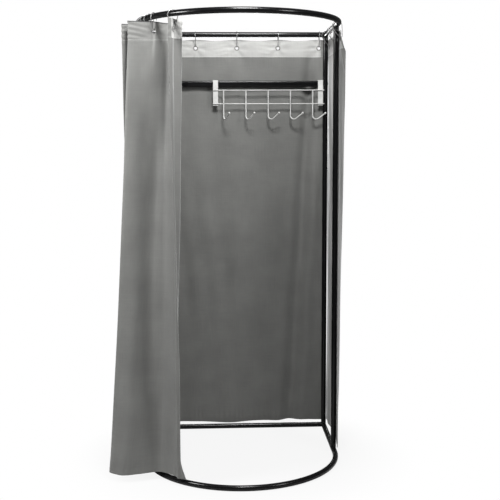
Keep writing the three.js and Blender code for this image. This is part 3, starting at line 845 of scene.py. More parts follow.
@dataclass
class TubeFrame:
    """The black tube frame: two bows, six straight tubes, eight connectors and four posts."""

    sides: int = 36
    bow_steps: int = 84
    chamfer: float = 0.35 * MM
    bore: float = TUBE_R - TUBE_WALL
    swage_taper: float = 6 * MM
    swage_length: float = 48 * MM
    spigot: float = 26 * MM
    lip: float = 0.5 * MM
    arm_shy: float = 0.02 * MM
    arm_sharp: float = 32.0

    def build(self, shop: Workshop) -> None:
        """Builds every piece of the frame.

        Args:
            shop: the finishes.
        """
        for level, z, up in (("base", BASE_Z, Z), ("top", TOP_Z, -Z)):
            self._bow(shop, level, z)
            start = Vector((-HALF + TUBE_START, 0, z))
            self._straight(shop, f"{level}_back_tube", start, X, 2 * (HALF - TUBE_START))
            for side in Side:
                x = side.sign * HALF
                back, front = Vector((x, 0, z)), Vector((x, -SIDE_SPAN, z))
                name, length = f"{level}_{side.value}_side_tube", SIDE_SPAN - 2 * TUBE_START
                self._straight(shop, name, front + Y * TUBE_START, Y, length)
                self._connector(shop, f"{level}_back_{side.value}_corner", back, (-side.sign * X, -Y, up))
                self._connector(shop, f"{level}_front_{side.value}_tee", front, (Y, -Y, up))
        for side in Side:
            for row, y in (("back", 0.0), ("front", -SIDE_SPAN)):
                self._post(shop, f"{row}_{side.value}_post", Vector((side.sign * HALF, y, 0)))

    def _straight(self, shop: Workshop, name: str, start: Vector, along: Vector, length: float) -> None:
        """One straight tube.

        Args:
            shop: the finishes.
            name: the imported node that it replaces.
            start: the middle of its first end.
            along: the direction to its other end.
            length: from end to end.
        """
        profile = tube_profile(length, TUBE_R, self.bore, self.chamfer)
        shell = moved(turned(profile, self.sides, closed=True), aim(along, start))
        shop.dress(new_piece(f"{name}_enamelled", *shell), Slot.ENAMEL, Body.FRAME.value, name)

    def _bow(self, shop: Workshop, level: str, z: float) -> None:
        """One bent tube, with its wall and its bore.

        Args:
            shop: the finishes.
            level: base or top.
            z: the height of its axis.
        """
        lead = BOW_Y + BOW_LEAD - TUBE_START
        bend = arc(Vector((0, BOW_Y, z)), HALF, math.pi, math.tau, self.bow_steps, X, Y)
        ends = Vector((-HALF, lead, z)), Vector((HALF, lead, z))
        nicks = [ends[0] - Y * self.chamfer], [ends[1] - Y * self.chamfer]
        route = [ends[0], *nicks[0], *bend, *nicks[1], ends[1]]
        edge = TUBE_R - self.chamfer
        outer = swept(route, [edge] + [TUBE_R] * (len(route) - 2) + [edge], self.sides, Z)
        inner = swept(route, self.bore, self.sides, Z)
        count, last = self.sides, len(route) * self.sides
        faces = outer[1][:-2] + [[last + i for i in face][::-1] for face in inner[1][:-2]]
        for row, flip in ((0, False), (last - count, True)):
            for i in range(count):
                j = (i + 1) % count
                face = [row + i, last + row + i, last + row + j, row + j]
                faces.append(face[::-1] if flip else face)
        piece = new_piece(f"{level}_bow_enamelled", outer[0] + inner[0], faces)
        shop.dress(piece, Slot.ENAMEL, Body.FRAME.value, f"{level}_bow_tube")

    def _connector(self, shop: Workshop, name: str, centre: Vector, arms: Sequence[Vector]) -> None:
        """A moulded three-way connector: a round heel and three arms with a lip at each mouth.

        Args:
            shop: the finishes.
            name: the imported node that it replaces.
            centre: where its arms meet.
            arms: the directions of its arms.
        """
        lip, arm_r, end = self.lip, TUBE_R - self.arm_shy, STUB + self.spigot
        profile = [
            (TUBE_R / 2, -TUBE_R / 2), (arm_r, 0.0), (arm_r, STUB - 4 * lip),
            (TUBE_R - lip, STUB - 3.4 * lip), (TUBE_R - lip, STUB - 2.6 * lip), (TUBE_R, STUB - 2 * lip),
            (TUBE_R, STUB - lip), (TUBE_R - lip, STUB), (SPIGOT_R, STUB), (SPIGOT_R, end - lip),
            (SPIGOT_R - lip, end),
        ]
        heel = bpy.data.meshes.new("heel")
        ball = bmesh.new()
        bmesh.ops.create_uvsphere(ball, u_segments=self.sides, v_segments=self.sides // 2, radius=TUBE_R)
        bmesh.ops.translate(ball, vec=centre, verts=ball.verts)
        ball.to_mesh(heel)
        ball.free()
        piece = bpy.data.objects.new(f"{name}_moulded", heel)
        bpy.context.scene.collection.objects.link(piece)
        for i, direction in enumerate(arms):
            points, faces = moved(turned(profile, self.sides), aim(direction, centre))
            tool = new_piece(f"arm_{i}", points, faces)
            join = piece.modifiers.new("join", "BOOLEAN")
            join.operation, join.solver, join.object = "UNION", "EXACT", tool
            apply_modifiers(piece)
            bpy.data.objects.remove(tool)
        piece.data.name = piece.name
        piece.data.polygons.foreach_set("use_smooth", [True] * len(piece.data.polygons))
        piece.data.set_sharp_from_angle(angle=math.radians(self.arm_sharp))
        shop.dress(piece, Slot.MOULDED, Body.FRAME.value, name)

    def _post(self, shop: Workshop, name: str, foot: Vector) -> None:
        """The two halves of a post, the lower one swaged down inside the upper one.

        Args:
            shop: the finishes.
            name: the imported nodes' name without lower or upper.
            foot: the floor under its axis.
        """
        start = BASE_Z + TUBE_START
        shoulder = JOINT_Z - start
        neck, chamfer, taper = SPIGOT_R, self.chamfer, self.swage_taper
        end = shoulder + self.swage_length
        profile = [
            (TUBE_R - chamfer, 0.0), (TUBE_R, chamfer), (TUBE_R, shoulder - taper),
            (TUBE_R - 0.3 * MM, shoulder - 0.7 * taper), (neck + 0.2 * MM, shoulder - 0.1 * MM),
            (neck, shoulder), (neck, end), (neck - TUBE_WALL, end),
            (neck - TUBE_WALL, shoulder), (self.bore, shoulder - taper), (self.bore, 0.0),
        ]
        bottom = JOINT_Z + SEAT
        above = tube_profile(TOP_Z - TUBE_START - bottom, TUBE_R, self.bore, chamfer)
        for half, outline, z in (("lower", profile, start), ("upper", above, bottom)):
            shell = moved(turned(outline, self.sides, closed=True), Matrix.Translation(foot + Z * z))
            piece = new_piece(f"{name}_{half}_enamelled", *shell)
            shop.dress(piece, Slot.ENAMEL, Body.FRAME.value, f"{name}_{half}")


@dataclass
class HangingRail:
    """The flat-oval rail between the back posts, with its plugs and bolts."""

    height: float = 30 * MM
    thick: float = 15 * MM
    wall: float = 1 * MM
    half: float = HALF - TUBE_R * FLAT_SHARE - SEAT
    chamfer: float = 0.3 * MM
    bend_steps: int = 16
    bolt_sides: int = 36
    bolt_shank_r: float = 3 * MM
    bolt_reach: float = 2 * (TUBE_R * FLAT_SHARE + SEAT) + 14 * MM
    # Radius and height of the rows of the bolt's head, in millimetres
    bolt_dome: tuple = ((5.5, 0.0), (5.5, 0.8), (5.2, 1.5), (4.4, 2.1), (3.2, 2.5))
    bolt_socket: tuple = ((1.75, 2.4), (1.7, 1.0))
    bolt_sharp: float = 28.0

    def build(self, shop: Workshop) -> None:
        """Builds the rail and its bolts, and keeps the hidden plugs.

        Args:
            shop: the finishes.
        """
        outer, inner = self._outline(0.0), self._outline(self.wall)
        edge = self._outline(self.chamfer)
        rows = [(edge, -self.half), (outer, -self.half + self.chamfer), (outer, self.half - self.chamfer),
                (edge, self.half), (inner, self.half), (inner, -self.half)]
        points = [(x, y, RAIL_Z + z) for outline, x in rows for y, z in outline]
        faces = ring_faces(len(rows), len(outer), closed_rows=True)
        piece = new_piece("hanging_rail_enamelled", points, faces)
        shop.dress(piece, Slot.ENAMEL, Body.FRAME.value, "hanging_rail")
        for side in Side:
            self._bolt(shop, side)
            shop.keep(f"rail_{side.value}_plug", Slot.MOULDED)

    def _outline(self, inset: float) -> Outline:
        """The flat oval's outline.

        Args:
            inset: how far it is pulled in from the outside.

        Returns:
            Its points as (y, z).
        """
        radius = self.thick / 2 - inset
        straight = self.height / 2 - self.thick / 2
        outline = []
        for end in (1, -1):
            for i in range(self.bend_steps + 1):
                turn = math.pi * i / self.bend_steps + (0 if end > 0 else math.pi)
                outline.append((radius * math.cos(turn), end * straight + radius * math.sin(turn)))
        return outline

    def _bolt(self, shop: Workshop, side: Side) -> None:
        """A low domed bolt with a hexagonal socket in its head.

        Args:
            shop: the finishes.
            side: the side that it is on.
        """
        turns = [math.tau * i / self.bolt_sides for i in range(self.bolt_sides)]
        rim, reach, shank = 0.4 * MM, self.bolt_reach, self.bolt_shank_r
        rows = [(shank - rim, -reach), (shank, -reach + rim), (shank, 0.0)]
        rows += [(radius * MM, height * MM) for radius, height in self.bolt_dome]
        points = [(r * math.cos(t), r * math.sin(t), height) for r, height in rows for t in turns]
        for flat, height in self.bolt_socket:
            for t in turns:
                r = flat * MM / math.cos((t % (math.pi / 3)) - math.pi / 6)
                points.append((r * math.cos(t), r * math.sin(t), height * MM))
        count = len(rows) + len(self.bolt_socket)
        faces = ring_faces(count, self.bolt_sides) + end_caps(count, self.bolt_sides)
        seat = Vector((side.sign * (HALF + TUBE_R * FLAT_SHARE + SEAT), 0, RAIL_Z))
        shell = moved((points, faces), aim(side.sign * X, seat))
        piece = new_piece(f"rail_{side.value}_bolt_domed", *shell, self.bolt_sharp)
        shop.dress(piece, Slot.ZINC, Body.FRAME.value, f"rail_{side.value}_bolt")


# Hook rack


@dataclass
class HookRack:
    """The white rack: two straps over the rail, two long wires and five coat hooks."""

    strap_width: float = 25 * MM
    strap_thick: float = 2 * MM
    strap_span: float = 519 * MM
    strap_drop: float = 124 * MM
    strap_lip: float = 32 * MM
    strap_bend: float = 2.5 * MM
    strap_steps: int = 8
    strap_edge: float = 0.55 * MM
    strap_sharp: float = 25.0
    wire_r: float = 2.5 * MM
    wire_blunt: float = 0.9 * MM
    wire_past: tuple[float, float] = (0.5 * MM, 6 * MM)
    wire_drops: tuple[float, float] = (49 * MM, 115 * MM)
    rod_sides: int = 20
    hooks: int = 5
    hook_pitch: float = 110 * MM
    hook_r: float = 3 * MM
    hook_bottom: float = 194 * MM
    hook_bend: float = 18 * MM
    hook_tip: float = 43 * MM
    hook_edge: float = 0.7 * MM
    hook_steps: int = 28
    hook_rise: float = math.radians(37)
    hook_first_turn: float = math.radians(24)
    hook_turn_step: float = math.radians(14.5)
    ball_r: float = 5.5 * MM
    ball_steps: int = 12
    x: float = HALF - TUBE_R * FLAT_SHARE - 0.9 * MM - (25 + 519) / 2 * MM
    top: float = RAIL_Z + 15 * MM + SEAT + 2 * MM
    front: float = -(7.5 + 3.1 + 2) * MM
    back: float = (7.5 + 0.3 + 2) * MM

    def build(self, shop: Workshop) -> None:
        """Builds the straps, the wires and the hooks.

        Args:
            shop: the finishes.
        """
        for side in Side:
            self._strap(shop, side)
        wire_y = self.front - SEAT - self.wire_r
        for level, drop in zip(("upper", "lower"), self.wire_drops):
            self._wire(shop, level, wire_y, self.top - drop)
        hook_y = wire_y - self.wire_r - SEAT - self.hook_r
        hook_z = self.top + self.wire_r - self.wire_drops[0]
        for i in range(self.hooks):
            x = self.x + (i - self.hooks // 2) * self.hook_pitch
            self._hook(shop, i + 1, Vector((x, hook_y, hook_z)))

    def _strap(self, shop: Workshop, side: Side) -> None:
        """One strap, bent over the rail, with rounded edges.

        Args:
            shop: the finishes.
            side: the side of the rack that it is on.
        """
        outside = self._strap_line(0.0)
        inside = self._strap_line(self.strap_thick)
        centre = self.x + side.sign * self.strap_span / 2
        count = len(outside)
        points = []
        for x in (centre - self.strap_width / 2, centre + self.strap_width / 2):
            points += [(x, y, self.top + z) for y, z in outside + inside]
        far = 2 * count
        faces = []
        for i in range(count - 1):
            j, under = i + 1, count + i
            faces += [[i, j, far + j, far + i], [under, far + under, far + under + 1, under + 1],
                      [i, under, under + 1, j], [far + i, far + j, far + under + 1, far + under]]
        last = count - 1
        faces += [[0, far, far + count, count], [last, count + last, far + count + last, far + last]]
        piece = new_piece(f"rack_{side.value}_strap_coated", points, faces, self.strap_sharp)
        round_edges(piece, self.strap_edge)
        shop.dress(piece, Slot.WHITE, Body.RACK.value, f"rack_{side.value}_strap")

    def _strap_line(self, inset: float) -> Outline:
        """One face of a strap, from the foot of its front leg over the rail to its lip.

        Args:
            inset: how far the face lies under the outer one.

        Returns:
            Its points as (y, z) from the top of the rack.
        """
        outer, radius, quarter = self.strap_bend, self.strap_bend - inset, math.pi / 2
        line = [(self.front + inset, -self.strap_drop)]
        for y, start, end in ((self.front + outer, math.pi, quarter), (self.back - outer, quarter, 0.0)):
            line += [(y + radius * math.cos(t), -outer + radius * math.sin(t))
                     for t in np.linspace(start, end, self.strap_steps + 1)]
        return [*line, (self.back - inset, -self.strap_lip)]

    def _wire(self, shop: Workshop, level: str, y: float, z: float) -> None:
        """One long wire with blunt rounded ends.

        Args:
            shop: the finishes.
            level: upper or lower.
            y: the place of its axis.
            z: the height of its axis.
        """
        start = self.x - (self.strap_span + self.strap_width) / 2 - self.wire_past[0]
        length = self.strap_span + self.strap_width + sum(self.wire_past)
        radius, blunt, shy = self.wire_r, self.wire_blunt, 0.3 * self.wire_blunt
        profile = [(radius - blunt, 0.0), (radius - shy, shy), (radius, blunt), (radius, length - blunt),
                   (radius - shy, length - shy), (radius - blunt, length)]
        shell = moved(turned(profile, self.rod_sides), aim(X, Vector((start, y, z))))
        piece = new_piece(f"rack_{level}_wire_coated", *shell)
        shop.dress(piece, Slot.WHITE, Body.RACK.value, f"rack_{level}_wire")

    def _hook(self, shop: Workshop, number: int, place: Vector) -> None:
        """One coat hook: shank, bend, rising tip and ball end, in one piece.

        Args:
            shop: the finishes.
            number: the hook's number, from the left.
            place: the top of its shank.
        """
        radius, ball = self.hook_r, self.ball_r
        shank = self.hook_bottom - self.wire_drops[0] + self.wire_r
        turn = self.hook_first_turn + (number - 1) * self.hook_turn_step
        forward = Vector((math.sin(turn), -math.cos(turn), 0))
        centre = place + forward * self.hook_bend + Z * (self.hook_bend + radius - shank)
        lowest = 1.5 * math.pi
        bend = arc(centre, self.hook_bend, math.pi, lowest + self.hook_rise, self.hook_steps, forward, Z)
        along = forward * math.cos(self.hook_rise) + Z * math.sin(self.hook_rise)
        tip = bend[-1] + along * self.hook_tip
        neck = math.sqrt(ball**2 - radius**2)
        straight = [place.lerp(bend[0], t) for t in (0.3, 0.6, 0.9)]
        route = [place, place - Z * self.hook_edge, *straight, *bend]
        radii = [radius - self.hook_edge, *[radius] * (len(route) - 1)]
        route += [bend[-1].lerp(tip, t) for t in (0.3, 0.6)] + [tip - along * neck]
        radii += [radius] * 3
        pole = 0.12
        for polar in np.linspace(math.acos(-neck / ball), pole, self.ball_steps)[1:]:
            route.append(tip + along * (ball * math.cos(polar)))
            radii.append(ball * math.sin(polar))
        piece = new_piece(f"coat_hook_{number}_coated", *swept(route, radii, self.rod_sides, X))
        shop.dress(piece, Slot.WHITE, Body.RACK.value, f"coat_hook_{number}")


# Rings and curtains


@dataclass
class CurtainRing:
    """A pear-shaped wire ring whose two ends meet in a small sleeve on its outer leg."""

    top_r: float = 22 * MM
    eye_r: float = 8 * MM
    sides: int = 12
    top_steps: int = 40
    eye_steps: int = 16
    end_gap: float = 0.3 * MM
    end_reach: float = 4 * MM
    # Wall and place along the wire of the rows of the sleeve, in millimetres
    sleeve: tuple = ((0.1, -5.0), (0.7, -4.4), (0.8, 0.0), (0.7, 4.4), (0.1, 5.0))

    def build(
        self, shop: Workshop, node: str, body: str, place: tuple[float, float], turn: float, lean: float
    ) -> None:
        """Builds one ring round the top tube.

        Args:
            shop: the finishes.
            node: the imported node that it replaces.
            body: the body that it rides on.
            place: where the ring crosses the tube's axis, in plan.
            turn: the angle of the ring's own +X in plan.
            lean: how far its eye leans towards its own +X.
        """
        clear = self.top_r * math.cos(math.pi / RING_FACETS) - RING_WIRE_R
        facet = TUBE_R * math.sin(math.pi / TUBE_FACETS)
        sag = math.sqrt((clear - SEAT) ** 2 - facet**2) - TUBE_R * FLAT_SHARE
        top = Vector((0, 0, -sag))
        eye = Vector((lean, 0, self.eye_r - RING_REACH))
        down = eye - top
        heading = math.atan2(down.z, down.x)
        wrap = math.acos((self.top_r - self.eye_r) / down.length)
        over = arc(top, self.top_r, heading + wrap, heading - wrap + math.tau, self.top_steps, X, Z)
        under = arc(eye, self.eye_r, heading - wrap, heading + wrap, self.eye_steps, X, Z)
        middle = under[-1].lerp(over[0], 0.5)
        leg = (over[0] - under[-1]).normalized()
        near, far = leg * self.end_gap, leg * self.end_reach
        route = [middle + near, middle + far, *over, *under, middle - far, middle - near]
        wire = swept(route, RING_WIRE_R, self.sides, Y)
        sleeve = [(RING_WIRE_R + wall * MM, height * MM) for wall, height in self.sleeve]
        shell = joined([wire, moved(turned(sleeve, self.sides), aim(leg, middle))])
        stand = Matrix.Translation((place[0], place[1], TOP_Z)) @ Matrix.Rotation(turn, 4, "Z")
        piece = new_piece(f"{node}_wire", *moved(shell, stand))
        shop.dress(piece, Slot.WIRE, body, node)


@dataclass
class Grommet:
    """A rolled metal eyelet set in the cloth."""

    inner: float = 7.2 * MM
    outer: float = 12 * MM
    proud: float = 1.3 * MM
    sides: int = 40
    roll_steps: int = 16

    def build(
        self, shop: Workshop, name: str, body: str, place: tuple[float, float], facing: Vector
    ) -> Piece:
        """Builds one eyelet.

        Args:
            shop: the finishes.
            name: the piece's name.
            body: the body that it rides on.
            place: its centre in plan.
            facing: the direction out of the cloth.

        Returns:
            The new piece.
        """
        middle, width = (self.inner + self.outer) / 2, (self.outer - self.inner) / 2
        turns = np.linspace(0, math.tau, self.roll_steps + 1)[:-1]
        profile = [(middle + width * math.cos(t), self.proud * math.sin(t)) for t in turns]
        shell = moved(turned(profile, self.sides, closed=True), aim(facing, Vector((*place, EYELET_Z))))
        piece = shop.dress(new_piece(name, *shell), Slot.WIRE, body)
        piece.data.materials[0] = shop.eyelet
        return piece


def bell(offset: np.ndarray, width: float | np.ndarray) -> np.ndarray:
    """A bell curve that is one at no offset, and about a third at an offset of its width."""
    return np.exp(-((offset / width) ** 2))


def rise(value: np.ndarray, start: float, length: float) -> np.ndarray:
    """A straight rise from zero to one over a length, and level before and after it."""
    return np.clip((value - start) / length, 0, 1)


def wander(place: np.ndarray, u: np.ndarray, pitch: float, *turns: tuple[float, float]) -> np.ndarray:
    """A wave whose lines aren't straight.

    Args:
        place: metres along the wave.
        u: metres across the cloth.
        pitch: from one line to the next.
        turns: how far the wave shifts, in radians, and how fast, in radians to a metre across.

    Returns:
        The wave, from -1 to 1.
    """
    phase = math.tau * place / pitch
    for amount, rate in turns:
        phase = phase + amount * np.sin(u * rate)
    return np.sin(phase)


@dataclass(frozen=True)
class SmallFolds:
    """Sizes of the small folds that every curtain has, and of its turned and doubled edges."""

    ripples: int = 7
    ripple_width: tuple[float, float] = (0.05, 0.16)
    ripple_height: tuple[float, float] = (0.5, 1.6)
    ripple_slant: float = 0.12
    ripple_from: float = 0.05
    ripple_over: float = 0.25
    rays: int = 6
    ray_reach: float = 0.075
    ray_from: float = 0.013
    ray_over: float = 0.02
    seam_pucker: float = 0.5 * MM
    seam_pitch: float = 0.019
    seam_reach: float = 0.012
    seam_ridge: float = 0.7 * MM
    seam_ridge_drop: float = 0.004
    seam_groove: float = 0.6 * MM
    seam_width: float = 0.003
    slack_pitch: float = 0.021
    slack_over: float = 0.01
    hem_pucker: float = 1.4 * MM
    hem_pitch: float = 0.023
    hem_reach: float = 0.02
    hem_groove: float = 0.6 * MM
    hem_width: float = 0.004
    band_layers: float = 0.8
    side_layers: float = 0.9
    side_step: float = 2 * MM
    bottom_layers: float = 1.4
    bottom_step: float = 4 * MM


@dataclass(frozen=True)
class Eyelet:
    """An eyelet: its column in the cloth, its place in plan, the way it faces and its body."""

    column: float
    place: tuple[float, float]
    facing: Vector
    body: str


Form = Callable[[np.ndarray, np.ndarray], np.ndarray]


@dataclass
class Curtain:
    """A hung curtain: a thin closed sheet with a heading band, side hems and a rolled bottom hem."""

    # Start, end and step of the rows, in metres under the top edge
    ROWS = ((0, 0.1, 0.004), (0.1, 0.2, 0.009), (0.2, DROP - 0.1, 0.0155),
            (DROP - 0.1, DROP - 0.001, 0.006))
    # A cell's neighbours by row and column, each with the two corners that it shares
    RIMS = ((-1, 0, 3, 0), (1, 0, 1, 2), (0, -1, 0, 1), (0, 1, 2, 3))

    name: str
    node: str
    flat: tuple[float, float]
    eyelets: list[Eyelet]
    middle: Form
    across: np.ndarray
    rests_on: list[str]
    seed: int = 1
    band_depth: float = 84 * MM
    thick: float = 0.5 * MM
    drape: float = 0.85 * MM
    crease: float = 1.8 * MM
    wrinkle: float = 0.2 * MM
    inward: float = 1.2 * MM
    side_hem: float = 16 * MM
    bottom_hem: float = 26 * MM
    hole_r: float = 10.2 * MM
    small: SmallFolds = SmallFolds()
    # Whether the outer face's top row is painted near-black as painted shade of the heading's top fold
    shaded_top_edge: bool = False
    grommets: list[Piece] = field(default_factory=list)

    def build(self, shop: Workshop) -> Piece:
        """Builds the cloth and its eyelets.

        Args:
            shop: the finishes.

        Returns:
            The cloth, not yet tied to a body.
        """
        shares = self._rows()
        points = self.middle(self.across, shares)
        measured = len(shares) // 8
        step = np.linalg.norm(np.diff(points, axis=1), axis=2)[measured]
        along = np.concatenate([[0.0], np.cumsum(step)])
        forwards = self.across[0] < self.across[-1]
        order, places = np.sort(self.across), along if forwards else along[::-1]
        centres = [float(np.interp(eyelet.column, order, places)) for eyelet in self.eyelets]
        up = points[..., 2] - HEM_Z
        points = points + self._normals(points) * self._relief(along, DROP - up, centres)[..., None]
        half = self._normals(points) * self._half_thickness(along, DROP - up)[..., None]
        piece = self._mesh(points + half, points - half, along, up, centres)
        for material in shop.cloth(self.band_depth, DROP):
            piece.data.materials.append(material)
        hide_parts(self.node)
        for i, eyelet in enumerate(self.eyelets):
            name = f"{self.node}_eyelet_{i + 1}"
            self.grommets.append(Grommet().build(shop, name, eyelet.body, eyelet.place, eyelet.facing))
        log.info("%s: %d faces, %.3f m of cloth across", piece.name, len(piece.data.polygons), along[-1])
        return piece

    def _rows(self) -> np.ndarray:
        """Depths of the rows as shares of the drop: close at the heading and at the hem."""
        depths = [depth for start, end, step in self.ROWS for depth in np.arange(start, end, step)]
        return np.array([*depths, DROP]) / DROP

    @staticmethod
    def _normals(points: np.ndarray) -> np.ndarray:
        """Unit normals of a grid of points.

        Args:
            points: the grid, by rows and columns.

        Returns:
            A normal for each point.
        """
        normal = np.cross(np.gradient(points, axis=1), -np.gradient(points, axis=0))
        return normal / np.maximum(np.linalg.norm(normal, axis=2, keepdims=True), 1e-12)

    def _relief(self, along: np.ndarray, depth: np.ndarray, centres: Sequence[float]) -> np.ndarray:
        """How far the cloth stands out of its smooth form: drape lines, tension at the eyelets, puckers.

        Args:
            along: metres across the cloth, one for each column.
            depth: metres under the level of the top edge, for each row and column.
            centres: where the eyelets are across the cloth.

        Returns:
            Metres along the normal, for each row and column.
        """
        random, small = np.random.default_rng(self.seed), self.small
        u, v = np.broadcast_to(along, depth.shape), depth
        loose = rise(v, small.ripple_from, small.ripple_over)
        relief = np.zeros_like(u)
        for _ in range(small.ripples):
            wide, tall = random.uniform(*small.ripple_width), random.uniform(*small.ripple_height)
            slant = random.uniform(-small.ripple_slant, small.ripple_slant)
            phase = random.uniform(0, math.tau, 2)
            ripple = np.sin(math.tau * (u + slant * v) / wide + phase[0])
            relief += self.drape * ripple * (0.6 + 0.4 * np.sin(math.tau * v / tall + phase[1])) * loose
        relief += 1.5 * self.drape * loose
        for centre in centres:
            du, dv = u - centre, v - EYELET_DEPTH
            reach = np.hypot(du, dv)
            fade = bell(reach, small.ray_reach) * rise(reach, small.ray_from, small.ray_over)
            rays = np.cos(small.rays * np.arctan2(dv, du) + random.uniform(0, 1))
            relief += self.crease * rays * fade
        seam, hem = v - self.band_depth, v - (DROP - self.bottom_hem)
        pucker = wander(u, u, small.seam_pitch, (1.5, 40))
        relief += small.seam_pucker * pucker * np.exp(-np.abs(seam) / small.seam_reach)
        relief += small.seam_ridge * bell(seam - small.seam_ridge_drop, small.seam_width)
        relief -= small.seam_groove * bell(seam, small.seam_width)
        slack = wander(v, u, small.slack_pitch, (2.2, 17), (1.1, 43)) * (1 + np.sin(u * 29))
        relief += self.wrinkle * slack * rise(-seam, 0, small.slack_over)
        gathered = wander(u, u, small.hem_pitch, (1.8, 31))
        relief += small.hem_pucker * gathered * np.exp(-np.abs(hem) / small.hem_reach)
        relief -= small.hem_groove * bell(hem, small.hem_width)
        return np.maximum(relief, -self.inward)

    def _half_thickness(self, along: np.ndarray, depth: np.ndarray) -> np.ndarray:
        """Half the cloth's thickness: single cloth, or the doubled hems and heading.

        Args:
            along: metres across the cloth, one for each column.
            depth: metres under the level of the top edge, for each row and column.

        Returns:
            Metres, for each row and column.
        """
        u, v, small = np.broadcast_to(along, depth.shape), depth, self.small
        middle = along[-1] / 2
        layers = np.ones_like(v)
        layers += small.band_layers * (v < self.band_depth)
        layers += small.side_layers * rise(np.abs(u - middle), middle - self.side_hem, small.side_step)
        layers += small.bottom_layers * rise(v, DROP - self.bottom_hem, small.bottom_step)
        return layers * self.thick / 2

    def _mesh(self, front: np.ndarray, back: np.ndarray, along: np.ndarray, up: np.ndarray,
              centres: Sequence[float]) -> Piece:
        """Joins the two faces of the cloth with its rim and opens the eyelet holes.

        Args:
            front: points of the front face.
            back: points of the back face.
            along: metres across the cloth for each column.
            up: metres above the hem, for each row and column.
            centres: where the eyelets are across the cloth.

        Returns:
            The cloth as one closed mesh that carries its flat coordinates, with a material slot
            for each face and one for the painted shade along the top edge.
        """
        rows, columns = front.shape[:2]
        hole_up = EYELET_Z - HEM_Z
        u, v = np.broadcast_to(along, up.shape), up
        cell_u, cell_v = (u[:-1, :-1] + u[1:, 1:]) / 2, (v[:-1, :-1] + v[1:, 1:]) / 2
        open_cell = np.zeros(cell_u.shape, bool)
        for centre in centres:
            open_cell |= np.hypot(cell_u - centre, cell_v - hole_up) < self.hole_r
        count = rows * columns
        faces, slots = [], []
        turned_in = np.minimum(cell_u, along[-1] - cell_u) < self.side_hem
        for r in range(rows - 1):
            for c in range(columns - 1):
                if open_cell[r, c]:
                    continue
                a = r * columns + c
                ring = [a, a + columns, a + columns + 1, a + 1]
                faces.append(ring)
                faces.append([count + i for i in reversed(ring)])
                # Slot 2 paints shade on the outer face's top row, where the curtain asks for it
                slots += [2 if self.shaded_top_edge and r == 0 else 0, 0 if turned_in[r, c] else 1]
                for dr, dc, i, j in self.RIMS:
                    nr, nc = r + dr, c + dc
                    if 0 <= nr < rows - 1 and 0 <= nc < columns - 1 and not open_cell[nr, nc]:
                        continue
                    faces.append([ring[j], ring[i], count + ring[i], count + ring[j]])
                    slots.append(0)
        points = np.concatenate([front.reshape(-1, 3), back.reshape(-1, 3)])
        flat = np.concatenate([np.stack([u.ravel(), v.ravel()], 1)] * 2)
        used = np.unique(np.concatenate([np.asarray(f) for f in faces]))
        renumber = np.full(len(points), -1)
        renumber[used] = np.arange(len(used))
        piece = new_piece(self.name, points[used], [[renumber[i] for i in f] for f in faces], sharp=60.0)
        piece.data.polygons.foreach_set("material_index", np.array(slots, np.int32))
        layer = piece.data.uv_layers.new(name="flat")
        corners = np.zeros(len(piece.data.loops), np.int32)
        piece.data.loops.foreach_get("vertex_index", corners)
        layer.data.foreach_set("uv", flat[used][corners].astype(np.float32).ravel())
        return piece


def pinned(share: np.ndarray) -> np.ndarray:
    """How far down the free cloth a row lies: zero in the band that the eyelets hold, one at the hem."""
    return np.maximum(0, share - PINNED_SHARE) / (1 - PINNED_SHARE)


def swell(share: np.ndarray) -> np.ndarray:
    """How much of a curtain's wave shows at a row."""
    free = pinned(share)
    return np.minimum(1, free / 0.25) * (1 - free / 3)


def scallop(place: np.ndarray, pitch: float) -> np.ndarray:
    """A wave that is zero at each eyelet and one half way between two of them."""
    return (1 - np.cos(math.tau * place / pitch)) / 2


def columns_with_eyelets(start: float, end: float, pitch: float, centres: Sequence[float]) -> np.ndarray:
    """Places across a curtain, closer together at its eyelets.

    Args:
        start: the first place.
        end: the last place.
        pitch: the usual step.
        centres: where the eyelets are.

    Returns:
        The places in order.
    """
    places = set(np.round(np.linspace(start, end, int(abs(end - start) / pitch) + 1), 6))
    step, steps, clear = 3.2 * MM, 5, 16.5 * MM
    for centre in centres:
        places = {p for p in places if abs(p - centre) > clear or p in (start, end)}
        places |= {round(centre + i * step, 6) for i in range(-steps, steps + 1)}
    low, high = min(start, end), max(start, end)
    inside = sorted(p for p in places if low <= p <= high)
    return np.array(inside if start < end else inside[::-1])


def hang(shop: Workshop, curtain: Curtain) -> None:
    """Builds a curtain that stays with the frame.

    Args:
        shop: the finishes.
        curtain: the curtain.
    """
    piece = curtain.build(shop)
    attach(piece, Body.FRAME.value)


